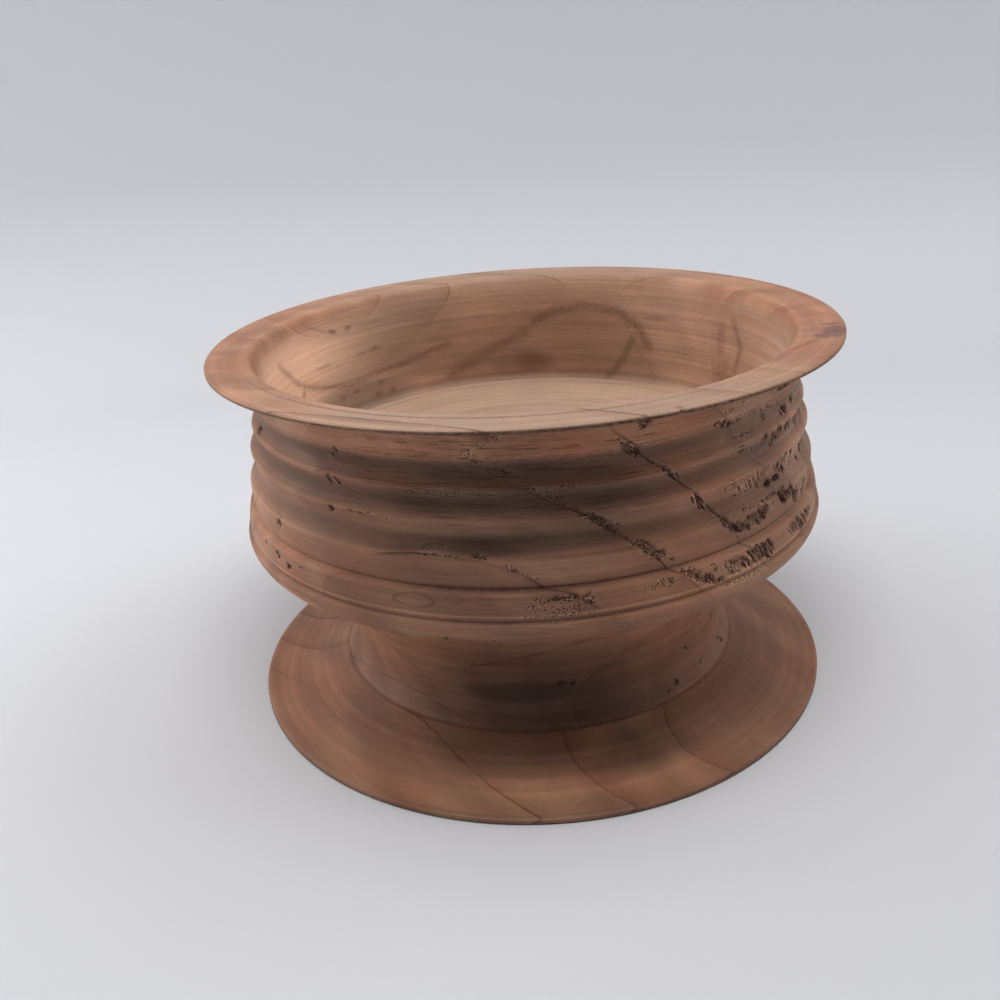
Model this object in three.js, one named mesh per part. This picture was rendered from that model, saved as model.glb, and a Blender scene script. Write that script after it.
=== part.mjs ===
// A turned wooden pedestal bowl: a ribbed bowl with a flared lip, on a waisted stem, on a thin wide foot.
// Three turned pieces, joined by round spigots in blind mortises. Millimetres, +Z up.
// The origin is the middle of the foot's underside.
import * as THREE from 'three';

// Shared by all three pieces
const turningSteps = 64; // flats round a full turn
const jointClearance = 0.3; // between a spigot's side and its mortise
const glueRoom = 0.5; // between a spigot's end and the bottom of its mortise

// Foot
const footRadius = 88.6;
const footEdgeThickness = 1.9;
const footEdgeRound = 0.5;
const footSeatHeight = 8.6; // the flat that the stem stands on
const footRiseSteps = 5;
const footRiseTurn = 25; // degrees, from level at the edge
const footMortiseDepth = 5.6;
const footSpigotRadius = 24;

// Stem
const stemHeight = 36.4; // from the foot's seat to the bowl's seat
const stemBeadRadius = 61.9;
const stemBeadHeight = 1.5;
const stemWaistRadius = 57.8;
const stemWaistHeight = 11;
const stemTopRadius = 70;
const stemFlareTurn = 65; // degrees, from upright at the waist
const stemLowerSteps = 4;
const stemUpperSteps = 6;

// Bowl, from its seat up
const bowlSpigotRadius = 27;
const bowlMortiseDepth = 11;
const seatLedge = 0.8; // the seat's flat stands out past the stem's top
const undercutRise = 4.8; // from the seat up to the arris
const arrisRadius = 82.4;
const bellyRadius = 85.9; // the widest part of the wall
const bellyRise = 5.8; // from the arris up to the widest part
const bellyTurn = 50; // degrees, from upright at the widest part
const bellySteps = 4;
// The wall's bands, from the belly up. Each has a height and the radius that it ends at. One that is hollowed in
// has how far it is at its middle, and one that swells out has how far it swells.
const shoulderRise = 0.7; // over the belly's widest part
const shoulderRadius = 85.5;
const shoulderSwell = 0.1;
const narrowGrooveRise = 0.4;
const narrowGrooveRadius = 84.6;
const narrowGrooveLipRise = 0.5;
const narrowGrooveLipRadius = 84.9;
const lowerFlatRise = 6.1;
const lowerFlatRadius = 84.2;
const lowerFlatSwell = 0.3;
const deepGrooveRise = 1.1;
const deepGrooveRadius = 82.2;
const deepGrooveLipRise = 0.5;
const deepGrooveLipRadius = 82.6;
const upperFlatRise = 6.5;
const upperFlatRadius = 82.9;
const upperFlatSwell = 0.15;
const lowerCoveRise = 9.8;
const lowerCoveRadius = 81.4;
const lowerCoveHollow = 1.6;
const middleCoveRise = 6.9;
const middleCoveRadius = 80;
const middleCoveHollow = 1.3;
const upperCoveRise = 7.7;
const upperCoveRadius = 79.8;
const upperCoveHollow = 1.5;
const smoothBandRise = 4.1; // under the lip
const smoothBandRadius = 79.3;
const flatSteps = 2;
const lowerFlatSteps = 3;
const coveSteps = 5;
const middleCoveSteps = 4;
const wallBands = [
  { rise: shoulderRise, radius: shoulderRadius, hollow: -shoulderSwell, steps: flatSteps },
  { rise: narrowGrooveRise, radius: narrowGrooveRadius, hollow: 0, steps: 1 },
  { rise: narrowGrooveLipRise, radius: narrowGrooveLipRadius, hollow: 0, steps: 1 },
  { rise: lowerFlatRise, radius: lowerFlatRadius, hollow: -lowerFlatSwell, steps: lowerFlatSteps },
  { rise: deepGrooveRise, radius: deepGrooveRadius, hollow: 0, steps: 1 },
  { rise: deepGrooveLipRise, radius: deepGrooveLipRadius, hollow: 0, steps: 1 },
  { rise: upperFlatRise, radius: upperFlatRadius, hollow: -upperFlatSwell, steps: flatSteps },
  { rise: lowerCoveRise, radius: lowerCoveRadius, hollow: lowerCoveHollow, steps: coveSteps },
  { rise: middleCoveRise, radius: middleCoveRadius, hollow: middleCoveHollow, steps: middleCoveSteps },
  { rise: upperCoveRise, radius: upperCoveRadius, hollow: upperCoveHollow, steps: coveSteps },
  { rise: smoothBandRise, radius: smoothBandRadius, hollow: 0, steps: 1 },
];

// Lip
const rimRadius = 90;
const rimEdgeThickness = 1.1;
const rimEdgeRound = 0.4;
const lipRise = 6.5; // from the smooth band up to the lip's top
const lipUndersideSteps = 4;
const lipUndersideTurn = 65; // degrees
const lipInnerRadius = 78.6; // where the lip's top turns down into the bowl
const lipFall = 0.4; // the lip's top drops this much on its way in
const lipTurn = 8; // height of that turn

// Inside of the bowl
const baseThickness = 24.2; // wood between the seat and the inside floor
const insideTopRadius = 75.8;
const insideFloorRadius = 73.6;
const insideCorner = 2.2; // radius of the corner between the wall and the floor
const cornerSteps = 4;
const lipTurnSteps = 6;

// Points between two others, both left out, on a line that is hollowed in by a half wave
function hollowed(from, to, steps, hollow) {
  const points = [];
  for (let i = 1; i < steps; i += 1) {
    const t = i / steps;
    const r = THREE.MathUtils.lerp(from[0], to[0], t) - hollow * Math.sin(Math.PI * t);
    const z = THREE.MathUtils.lerp(from[1], to[1], t);
    points.push([r, z]);
  }
  return points;
}

// Points between two others, both left out, on an arc that turns by some degrees and starts upright or level
function arc(from, to, steps, start, turn = 90) {
  const whole = THREE.MathUtils.degToRad(turn);
  const points = [];
  for (let i = 1; i < steps; i += 1) {
    const angle = (i / steps) * whole;
    const slow = (1 - Math.cos(angle)) / (1 - Math.cos(whole));
    const fast = Math.sin(angle) / Math.sin(whole);
    const [across, up] = start === 'upright' ? [slow, fast] : [fast, slow];
    points.push([THREE.MathUtils.lerp(from[0], to[0], across), THREE.MathUtils.lerp(from[1], to[1], up)]);
  }
  return points;
}

// The ribbed wall's points, from the belly up to the lip's underside
function wallOutline(belly) {
  const points = [];
  let below = belly;
  for (const band of wallBands) {
    const above = [band.radius, below[1] + band.rise];
    points.push(...hollowed(below, above, band.steps, band.hollow), above);
    below = above;
  }
  return points;
}

// Turns an outline of [radius, height] points about the Z axis
function turned(name, outline, material) {
  const points = outline.map(([r, z]) => new THREE.Vector2(r, z));
  const geometry = new THREE.LatheGeometry(points, turningSteps);
  geometry.rotateX(Math.PI / 2);
  const mesh = new THREE.Mesh(geometry, material);
  mesh.name = name;
  return mesh;
}

function wood(colour, roughness) {
  return new THREE.MeshStandardMaterial({ color: colour, roughness, metalness: 0 });
}

// The foot: a thin disc that rises in a hollow sweep to the seat, with a mortise in its top
function makeFoot() {
  const seatEdge = [stemBeadRadius, footSeatHeight];
  const topEdge = [footRadius - footEdgeRound, footEdgeThickness];
  const mortiseFloor = footSeatHeight - footMortiseDepth;
  const mortiseRadius = footSpigotRadius + jointClearance;
  const outline = [
    [0, 0],
    [footRadius - footEdgeRound, 0],
    [footRadius, footEdgeRound],
    [footRadius, footEdgeThickness - footEdgeRound],
    topEdge,
    ...arc(topEdge, seatEdge, footRiseSteps, 'level', footRiseTurn),
    seatEdge,
    [mortiseRadius, footSeatHeight],
    [mortiseRadius, mortiseFloor],
    [0, mortiseFloor],
  ];
  return turned('foot', outline, wood('#8a5a42', 0.6));
}

// The stem: a spigot, a bead, a hollow waist that flares out to the top, and a second spigot
function makeStem() {
  const lowerSpigotEnd = -(footMortiseDepth - glueRoom);
  const upperSpigotEnd = stemHeight + bowlMortiseDepth - glueRoom;
  const beadTop = [stemBeadRadius, stemBeadHeight];
  const waist = [stemWaistRadius, stemWaistHeight];
  const top = [stemTopRadius, stemHeight];
  const outline = [
    [0, lowerSpigotEnd],
    [footSpigotRadius, lowerSpigotEnd],
    [footSpigotRadius, 0],
    [stemBeadRadius, 0],
    beadTop,
    ...arc(beadTop, waist, stemLowerSteps, 'level'),
    waist,
    ...arc(waist, top, stemUpperSteps, 'upright', stemFlareTurn),
    top,
    [bowlSpigotRadius, stemHeight],
    [bowlSpigotRadius, upperSpigotEnd],
    [0, upperSpigotEnd],
  ];
  return turned('stem', outline, wood('#6f4634', 0.62));
}

// The bowl, from the axis under its base, out and up the ribbed wall, over the lip and down the inside
function makeBowl() {
  const mortiseRadius = bowlSpigotRadius + jointClearance;
  const seatEdge = [stemTopRadius + seatLedge, 0];
  const arris = [arrisRadius, undercutRise];
  const belly = [bellyRadius, undercutRise + bellyRise];
  const wall = wallOutline(belly);
  const wallTop = wall.at(-1);
  const lipTop = wallTop[1] + lipRise;
  const rimUnder = [rimRadius, lipTop - rimEdgeThickness];
  const rimTop = [rimRadius - rimEdgeRound, lipTop];
  const lipInner = [lipInnerRadius, lipTop - lipFall];
  const insideTop = [insideTopRadius, lipTop - lipFall - lipTurn];
  const cornerTop = [insideFloorRadius, baseThickness + insideCorner];
  const floorEdge = [insideFloorRadius - insideCorner, baseThickness];
  const outline = [
    [0, bowlMortiseDepth],
    [mortiseRadius, bowlMortiseDepth],
    [mortiseRadius, 0],
    seatEdge,
    arris,
    ...arc(belly, arris, bellySteps, 'upright', bellyTurn).reverse(),
    belly,
    ...wall,
    ...arc(wallTop, rimUnder, lipUndersideSteps, 'upright', lipUndersideTurn),
    rimUnder,
    [rimRadius, lipTop - rimEdgeRound],
    rimTop,
    lipInner,
    ...arc(lipInner, insideTop, lipTurnSteps, 'level'),
    insideTop,
    cornerTop,
    ...arc(cornerTop, floorEdge, cornerSteps, 'upright'),
    floorEdge,
    [0, baseThickness],
  ];
  return turned('bowl', outline, wood('#85573f', 0.6));
}

const pedestalBowl = new THREE.Group();
const foot = makeFoot();
const stem = makeStem();
const bowl = makeBowl();
stem.position.z = footSeatHeight;
bowl.position.z = footSeatHeight + stemHeight;
pedestalBowl.add(foot, stem, bowl);

export default pedestalBowl;
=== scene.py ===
# A turned wooden pedestal bowl on a pale sweep, lit softly from both sides. Metres, +Z up.
import functools
import math

import bpy
import numpy as np
from mathutils import Matrix, Vector


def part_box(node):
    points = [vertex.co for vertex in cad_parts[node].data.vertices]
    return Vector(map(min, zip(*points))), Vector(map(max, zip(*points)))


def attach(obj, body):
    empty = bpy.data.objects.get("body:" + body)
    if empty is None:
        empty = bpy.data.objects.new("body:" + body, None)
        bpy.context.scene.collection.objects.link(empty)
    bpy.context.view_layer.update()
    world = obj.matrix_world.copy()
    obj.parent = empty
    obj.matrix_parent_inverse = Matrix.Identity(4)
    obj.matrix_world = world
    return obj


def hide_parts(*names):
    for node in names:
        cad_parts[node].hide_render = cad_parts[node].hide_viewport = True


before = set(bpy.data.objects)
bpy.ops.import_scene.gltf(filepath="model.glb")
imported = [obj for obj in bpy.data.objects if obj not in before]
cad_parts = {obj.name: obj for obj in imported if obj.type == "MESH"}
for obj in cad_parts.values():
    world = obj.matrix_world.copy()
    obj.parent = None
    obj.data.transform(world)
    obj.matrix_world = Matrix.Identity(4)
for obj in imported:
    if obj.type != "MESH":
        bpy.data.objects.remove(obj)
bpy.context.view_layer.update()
print("frame loaded")

mm = 0.001  # outlines and patterns are written in millimetres


# Degrees round the axis: 0 is the front, and + goes to the right
def azimuthOf(points):
    return np.degrees(np.arctan2(points[:, 0], -points[:, 1]))


# Smooth random values from -1 to 1, one for each row of points, that change over about one unit. They blend
# the values at the corners of unit cells, which are hashed from the corner's place and the seed.
def smoothNoise(points, seed):
    points = np.asarray(points, float)
    base = np.floor(points).astype(np.int64)
    part = points - base
    part = part * part * (3 - 2 * part)
    total = np.zeros(len(points))
    for corner in np.ndindex(*(2,) * points.shape[1]):
        key = np.full(len(points), seed * 7919 + 17, np.uint64)
        weight = np.ones(len(points))
        for axis, step in enumerate(corner):
            key = (key ^ (base[:, axis] + step).astype(np.uint64)) * np.uint64(0x9E3779B97F4A7C15)
            key ^= key >> np.uint64(29)
            weight = weight * (part[:, axis] if step else 1 - part[:, axis])
        total += weight * ((key >> np.uint64(11)).astype(float) / 2**52 - 1)
    return total


# 0 below low, 1 above high, and a soft step between them
def softStep(low, high, values):
    t = np.clip((values - low) / (high - low), 0, 1)
    return t * t * (3 - 2 * t)


# Outlines are lists of (radius, height) points in millimetres. This one goes from start to end, hollowed in
# by a half wave, without the start.
def hollowed(start, end, hollow, step=0.35):
    count = max(1, round(abs(end[1] - start[1]) / step))
    points = []
    for i in range(1, count + 1):
        t = i / count
        r = start[0] + (end[0] - start[0]) * t - hollow * math.sin(math.pi * t)
        points.append((r, start[1] + (end[1] - start[1]) * t))
    return points


# And this one on an arc that turns by some degrees and begins upright or level
def arc(start, end, begins, turn=90, step=0.35):
    whole = math.radians(turn)
    count = max(2, round(math.dist(start, end) / step))
    points = []
    for i in range(1, count + 1):
        angle = i / count * whole
        slow = (1 - math.cos(angle)) / (1 - math.cos(whole))
        fast = math.sin(angle) / math.sin(whole)
        across, up = (slow, fast) if begins == "upright" else (fast, slow)
        points.append((start[0] + (end[0] - start[0]) * across, start[1] + (end[1] - start[1]) * up))
    return points


# Points on the way to each corner, no further apart than step, with the corners broken a little
def straight(corners, step, easing=0.12):
    points = []
    for before, at, after in zip(corners, corners[1:], corners[2:] + [None]):
        length = math.dist(before, at)
        count = max(1, math.ceil(length / step))
        for i in range(1, count):
            t = i / count
            points.append((before[0] + (at[0] - before[0]) * t, before[1] + (at[1] - before[1]) * t))
        if after is not None and length > 3 * easing:
            t = 1 - easing / length
            points.append((before[0] + (at[0] - before[0]) * t, before[1] + (at[1] - before[1]) * t))
        points.append(at)
        if after is not None and math.dist(at, after) > 3 * easing:
            t = easing / math.dist(at, after)
            points.append((at[0] + (after[0] - at[0]) * t, at[1] + (after[1] - at[1]) * t))
    return points


# Rows of (radius, height, columns) where two neighbours differ by no more than a factor of two in columns
def easedRows(rows):
    eased = [rows[0]]
    for row in rows[1:]:
        last = eased[-1]
        while min(last[0], row[0]) > 0 and max(last[2], row[2]) > 2 * min(last[2], row[2]):
            columns = last[2] * 2 if row[2] > last[2] else last[2] // 2
            t = 0.25  # of the way to the next row
            last = (last[0] + (row[0] - last[0]) * t, last[1] + (row[1] - last[1]) * t, columns)
            eased.append(last)
        eased.append(row)
    return eased


# Faces between two rings of vertex numbers, the first one lower on the outline
def ringFaces(lower, upper):
    n, m = len(lower), len(upper)
    nextLower, nextUpper = np.roll(lower, -1), np.roll(upper, -1)
    if n == m:
        return [np.stack([lower, nextLower, nextUpper, upper], 1)]
    if n == 2 * m:
        even, odd, then = lower[0::2], lower[1::2], nextLower[1::2]
        return [
            np.stack([even, odd, upper], 1),
            np.stack([odd, nextUpper, upper], 1),
            np.stack([odd, then, nextUpper], 1),
        ]
    even, odd, then = upper[0::2], upper[1::2], nextUpper[1::2]
    return [
        np.stack([lower, odd, even], 1),
        np.stack([lower, nextLower, odd], 1),
        np.stack([nextLower, then, odd], 1),
    ]


# An object from points in millimetres, arrays of faces and the value of each mark at each point
def meshObject(name, points, faces, marks):
    mesh = bpy.data.meshes.new(name)
    sizes = np.concatenate([np.full(len(f), f.shape[1]) for f in faces])
    corners = np.concatenate([f.ravel() for f in faces])
    mesh.vertices.add(len(points))
    mesh.vertices.foreach_set("co", (points * mm).astype(np.float32).ravel())
    mesh.loops.add(len(corners))
    mesh.loops.foreach_set("vertex_index", corners.astype(np.int32))
    mesh.polygons.add(len(sizes))
    mesh.polygons.foreach_set("loop_start", np.concatenate([[0], np.cumsum(sizes)[:-1]]).astype(np.int32))
    mesh.polygons.foreach_set("use_smooth", np.ones(len(sizes), bool))
    for mark, values in marks.items():
        mesh.attributes.new(mark, "FLOAT", "POINT").data.foreach_set("value", values.astype(np.float32))
    mesh.update(calc_edges=True)
    mesh.validate()
    piece = bpy.data.objects.new(name, mesh)
    bpy.context.scene.collection.objects.link(piece)
    print(name, len(points), "points", len(sizes), "faces")
    return piece


# Turns rows of (radius, height, columns) into a closed mesh of a block of wood. shape() says how deep each
# point is cut and what marks it has.
def turnedPiece(name, rows, block, shape):
    rows = easedRows(rows)
    points, rings, faces = [], [], []
    count = 0
    for r, z, columns in rows:
        if r < 1e-6:
            rings.append(np.array([count]))
            points.append([[0, 0, z]])
            count += 1
            continue
        angle = np.arange(columns) * 2 * math.pi / columns
        rings.append(np.arange(count, count + columns))
        points.append(np.stack([r * np.sin(angle), -r * np.cos(angle), np.full(columns, z)], 1))
        count += columns
    outline = np.array([(r, z) for r, z, columns in rows])
    slope = np.gradient(outline, axis=0)
    normal = np.stack([slope[:, 1], -slope[:, 0]], 1)
    normal /= np.linalg.norm(normal, axis=1)[:, None]
    rowOf = np.concatenate([np.full(len(ring), i) for i, ring in enumerate(rings)])
    points = np.concatenate(points)
    along = (slope / np.linalg.norm(slope, axis=1)[:, None])[rowOf]
    marks = growthMarks(points, along, block)
    depth, found = shape(points, rowOf, outline)
    marks["shown"] -= found.pop("faded", 0)
    marks["inked"] *= marks["shown"]
    marks.update(found)
    angle = np.arctan2(points[:, 0], -points[:, 1])
    inward = -depth[:, None] * normal[rowOf]
    points[:, 0] += inward[:, 0] * np.sin(angle)
    points[:, 1] -= inward[:, 0] * np.cos(angle)
    points[:, 2] += inward[:, 1]
    for lower, upper in zip(rings, rings[1:]):
        if len(lower) == 1:
            faces.append(np.stack([np.full(len(upper), lower[0]), np.roll(upper, -1), upper], 1))
        elif len(upper) == 1:
            faces.append(np.stack([lower, np.roll(lower, -1), np.full(len(lower), upper[0])], 1))
        else:
            faces.extend(ringFaces(lower, upper))
    return meshObject(name, points, faces, marks)


# Linear colour from an sRGB hex value
def linear(colour):
    parts = [int(colour[i:i + 2], 16) / 255 for i in (1, 3, 5)]
    return [p / 12.92 if p <= 0.04045 else ((p + 0.055) / 1.055) ** 2.4 for p in parts] + [1]


# Adds a node with its settings and links, and gives back one of its outputs
def addNode(tree, kind, inputs=None, output=0, **settings):
    node = tree.nodes.new("ShaderNode" + kind)
    for name, value in settings.items():
        setattr(node, name, value)
    for socket, value in (inputs or {}).items():
        if isinstance(value, bpy.types.NodeSocket):
            tree.links.new(value, node.inputs[socket])
        else:
            node.inputs[socket].default_value = value
    return node.outputs[output] if node.outputs else node


# How each block of wood grew: rings lie round a pith, which runs through the two points given, and each year
# ends in a thin dark line. The lines are given by their distance from the pith and how strong they are. Where
# a limb left the trunk it has rings round its own pith, and its wood is as old as trunk wood at limbStart
# when it begins.
trunkBlock = {
    "pith": ((-190.7, -176.9, 106), (-118.9, -177.4, 58)),
    "limb": ((2.9, 14.1, 106), (127.2, -42.1, 58)),
    "limbStart": 150,
    "limbBlend": 4,  # how softly the two sets of rings meet
    "lines": (
        (40, 0.5), (56, 0.4), (72, 0.6), (88.5, 0.5), (104, 0.7), (119.3, 1), (133.5, 1), (149.4, 1),
        (166.6, 0.45), (182, 0.6), (197.1, 0.75), (211.4, 0.8), (228, 0.5), (245, 0.6), (263, 0.4),
        (282, 0.6), (302, 0.5), (323, 0.5),
    ),
    "wander": ((45, 1.1), (13, 0.45), (4, 0.12)),  # size of the waves in the rings, and how far they go
    "seed": 11,
}
stemBlock = {
    "pith": ((-13, 35.8, 53), (16.6, 8.8, 8.6)),
    "lines": (
        (0, 0.4), (11, 0.5), (22.5, 0.4), (33, 0.5), (43.5, 0.3), (54, 0.3), (65, 0.45), (75.8, 0.9),
        (88, 0.5), (101, 0.4),
    ),
    "wander": ((40, 1), (12, 0.4), (4, 0.12)),
    "seed": 23,
}
footBlock = {
    "pith": ((-58.9, 202, -72.5), (43.9, 37.6, -121.5)),
    "lines": (
        (84, 0.3), (97, 0.2), (111, 0.3), (126, 0.25), (141, 0.2), (155, 0.8), (166.2, 0.7), (176.2, 0.9),
        (188, 0.2), (199, 0.3), (211, 0.2), (224, 0.3), (238, 0.2),
    ),
    "wander": ((50, 0.5), (14, 0.15), (4, 0.05)),
    "seed": 37,
}


# How far each point lies from a pith
def fromPith(points, pith):
    high, low = np.array(pith[0]), np.array(pith[1])
    fibre = (high - low) / np.linalg.norm(high - low)
    away = points - high
    return np.linalg.norm(away - (away @ fibre)[:, None] * fibre, axis=1)


# Years of growth at each point: whole numbers fall on the dark lines
def yearsAt(points, block):
    wandered = np.array(points, float)
    for i, (size, amount) in enumerate(block["wander"]):
        for axis in range(3):
            wandered[:, axis] += amount * smoothNoise(points / size, block["seed"] + 10 * i + axis)
    distance = fromPith(wandered, block["pith"])
    if "limb" in block:
        limb = fromPith(wandered, block["limb"]) + block["limbStart"]
        blend = block["limbBlend"]
        distance = -blend * np.logaddexp(-distance / blend, -limb / blend)
    return np.interp(distance, [at for at, strength in block["lines"]], np.arange(len(block["lines"])))


# What the growth leaves on a surface: the years, how fast they go by per millimetre, and how strong the
# nearest line is
def growthMarks(points, along, block):
    probe = 0.5
    angle = np.arctan2(points[:, 0], -points[:, 1])
    around = np.stack([np.cos(angle), np.sin(angle), np.zeros(len(points))], 1)
    upward = np.stack([along[:, 0] * np.sin(angle), -along[:, 0] * np.cos(angle), along[:, 1]], 1)
    years = yearsAt(points, block)
    aside = yearsAt(points + probe * around, block) - years
    onward = yearsAt(points + probe * upward, block) - years
    strengths = np.array([strength for at, strength in block["lines"]])
    nearest = np.clip(np.rint(years).astype(int), 0, len(strengths) - 1)
    pace = np.hypot(aside, onward) / probe
    return {"years": years, "pace": pace, "inked": strengths[nearest], "shown": np.ones(len(points))}


soft = {"interpolation_type": "SMOOTHSTEP"}


# A new material with nothing in it, and the function that adds nodes to it
def emptyMaterial(name):
    material = bpy.data.materials.new(name)
    material.use_nodes = True
    material.node_tree.nodes.clear()
    return material, functools.partial(addNode, material.node_tree)


# Fibres run along the pith, so the places for their noise are drawn out that way
def alongFibre(add, place, look, block):
    high, low = Vector(block["pith"][0]), Vector(block["pith"][1])
    fibre = (high - low).normalized()
    along = add("VectorMath", {0: place, 1: fibre}, output="Value", operation="DOT_PRODUCT")
    pull = add("Math", {0: along, 1: look["fibreStretch"] - 1}, operation="MULTIPLY")
    pull = add("VectorMath", {0: fibre, "Scale": pull}, operation="SCALE")
    return add("VectorMath", {0: place, 1: pull}, operation="ADD")


# The years: a dark line at the end of each and round a small knot, a soft darker band before it, and a tone
# of its own for each ring
def yearMarks(add, place, mark, look):
    waver = add("TexNoise", {"Vector": place, "Scale": 1 / look["lineWaver"], "Detail": 2})
    waver = add("MapRange", {0: waver, 1: 0.2, 2: 0.8, 3: -0.01, 4: 0.01})
    years = add("Math", {0: mark["years"], 1: waver}, operation="ADD")
    part = add("Math", {0: years}, operation="FRACT")
    whole = add("Math", {0: years}, operation="FLOOR")
    late = add("MapRange", {0: part, 1: 1 - look["lateShare"], 2: 1}, **soft)
    left = add("Math", {0: 1.0, 1: part}, operation="SUBTRACT")
    left = add("Math", {0: left, 1: mark["pace"]}, operation="DIVIDE")  # millimetres to the next line
    gone = add("Math", {0: part, 1: mark["pace"]}, operation="DIVIDE")  # and from the last one
    width = look["lineWidth"]
    before = add("MapRange", {0: left, 1: width, 2: width * 0.2}, **soft)
    after = add("MapRange", {0: gone, 1: width * 0.4, 2: 0.0}, **soft)
    line = add("Math", {0: before, 1: after}, operation="MAXIMUM")
    # where the surface runs along a ring its line would be a blot, so it goes out
    clear = add("MapRange", {0: mark["pace"], 1: 0.004, 2: 0.016}, **soft)
    fade = add("TexNoise", {"Vector": place, "Scale": 1 / look["lineFade"], "Detail": 1})
    fade = add("MapRange", {0: fade, 1: 0.35, 2: 0.6, 3: look["lineFaintest"]}, **soft)
    for share in (mark["inked"], clear, fade, look["lineAmount"]):
        line = add("Math", {0: line, 1: share}, operation="MULTIPLY")
    knot = add("Math", {0: mark["knot"], 1: 1.0}, operation="SUBTRACT")
    knot = add("Math", {0: knot}, operation="ABSOLUTE")
    knot = add("MapRange", {0: knot, 1: 0.18, 2: 0.04, 4: look["knotAmount"]}, **soft)
    return {
        "line": add("Math", {0: line, 1: knot}, operation="MAXIMUM"),
        "late": late,
        "ringTone": add("TexWhiteNoise", {"W": whole}, noise_dimensions="1D"),
    }


# What the tool left: lines and bands round the turning axis, which hang on the radius and the height alone,
# streaks on upright walls, and scores
def toolMarks(add, place, mark, look):
    flat = add("VectorMath", {0: place, 1: (1, 1, 0)}, operation="MULTIPLY")
    radius = add("VectorMath", {0: flat}, output="Value", operation="LENGTH")
    height = add("SeparateXYZ", {0: place}, output="Z")
    turning = add("CombineXYZ", {"X": radius, "Y": height, "Z": 0.0})
    drift = add("VectorMath", {0: place, "Scale": look["toolDrift"]}, operation="SCALE")
    turning = add("VectorMath", {0: turning, 1: drift}, operation="ADD")
    streaks = add("VectorMath", {0: place, 1: look["streakSize"]}, operation="DIVIDE")
    scores = add("VectorMath", {0: place, 1: look["scratchSize"]}, operation="DIVIDE")
    scores = add("TexNoise", {"Vector": scores, "Scale": 1.0, "Detail": 1.5})
    scores = add("MapRange", {0: scores, 1: 0.56, 2: 0.7, 4: look["scratchAmount"]}, **soft)
    return {
        "toolLines": add("TexNoise", {"Vector": turning, "Scale": 1 / look["toolWidth"], "Detail": 2}),
        "toolBands": add("TexNoise", {"Vector": turning, "Scale": 1 / look["toolBandWidth"], "Detail": 1}),
        "streaks": add("TexNoise", {"Vector": streaks, "Scale": 1.0, "Detail": 2}),
        "scratches": add("Math", {0: scores, 1: mark["scored"]}, operation="MULTIPLY"),
    }


# Torn grain too fine for the mesh: holes as round crumbs or as slivers that lean, and ragged wood between
# them
def tornMarks(add, place, mark, look):
    x, y, z = [add("SeparateXYZ", {0: place}, output=axis) for axis in "XYZ"]
    front = add("Math", {0: y, 1: -1.0}, operation="MULTIPLY")
    about = add("Math", {0: x, 1: front}, operation="ARCTAN2")
    about = add("Math", {0: about, 1: tearKinds["radius"]}, operation="MULTIPLY")
    unrolled = add("CombineXYZ", {"X": about, "Y": z, "Z": 0.0})
    lean = math.radians(tearKinds["sliverLean"])
    across, down = [
        add("VectorMath", {0: unrolled, 1: way}, output="Value", operation="DOT_PRODUCT")
        for way in ((math.cos(lean), math.sin(lean), 0), (-math.sin(lean), math.cos(lean), 0))
    ]
    down = add("Math", {0: down, 1: tearKinds["sliverStretch"]}, operation="MULTIPLY")
    leaning = add("CombineXYZ", {"X": across, "Y": down, "Z": 0.0})
    crumbs = add("TexNoise", {"Vector": place, "Scale": 1 / look["crumbWidth"], "Detail": 1})
    slivers = add("TexNoise", {"Vector": leaning, "Scale": 1 / look["sliverWidth"], "Detail": 1.5})
    grain = add("Mix", {0: mark["sliver"], 2: crumbs, 3: slivers}, data_type="FLOAT")
    # the rougher the wood, the more of the noise stands over its threshold
    threshold = add("MapRange", {0: mark["rough"], 3: 0.68, 4: 0.46})
    over = add("Math", {0: grain, 1: threshold}, operation="SUBTRACT")
    holes = add("MapRange", {0: over, 1: -0.005, 2: 0.06}, **soft)
    anyTear = add("MapRange", {0: mark["rough"], 1: 0.0, 2: 0.12}, **soft)
    holes = add("Math", {0: holes, 1: anyTear}, operation="MULTIPLY")
    shallow = add("Math", {0: mark["torn"], 1: look["pitAmount"]}, operation="MULTIPLY")
    between = add("MapRange", {0: over, 1: 0.0, 2: -0.12}, **soft)
    ragged = add("Math", {0: mark["rough"], 1: look["raggedAmount"]}, operation="MULTIPLY")
    return {
        "holes": add("Math", {0: holes, 1: shallow}, operation="MAXIMUM"),
        "ragged": add("Math", {0: ragged, 1: between}, operation="MULTIPLY"),
    }


# How dark it is: each mark takes it some way up and down, then come the mesh's own tone, which holds the
# painted shade and painted light, and the dark scores
def woodShade(add, mark, grain, look):
    shade = 1.0
    for name, low, high, amount in (
        ("fibres", 0.75, 0.25, look["fibreAmount"]),
        ("toolLines", 0.3, 0.7, look["toolAmount"]),
        ("toolBands", 0.35, 0.65, look["bandAmount"]),
        ("ringTone", 0.0, 1.0, look["ringAmount"]),
        ("streaks", 0.3, 0.7, look["streakAmount"]),
    ):
        step = add("MapRange", {0: grain[name], 1: low, 2: high, 3: 1 - amount, 4: 1 + amount})
        shade = add("Math", {0: shade, 1: step}, operation="MULTIPLY")
    unscored = add("Math", {0: 1.0, 1: grain["scratches"]}, operation="SUBTRACT")
    for step in (mark["tone"], unscored):
        shade = add("Math", {0: shade, 1: step}, operation="MULTIPLY")
    return shade


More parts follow.
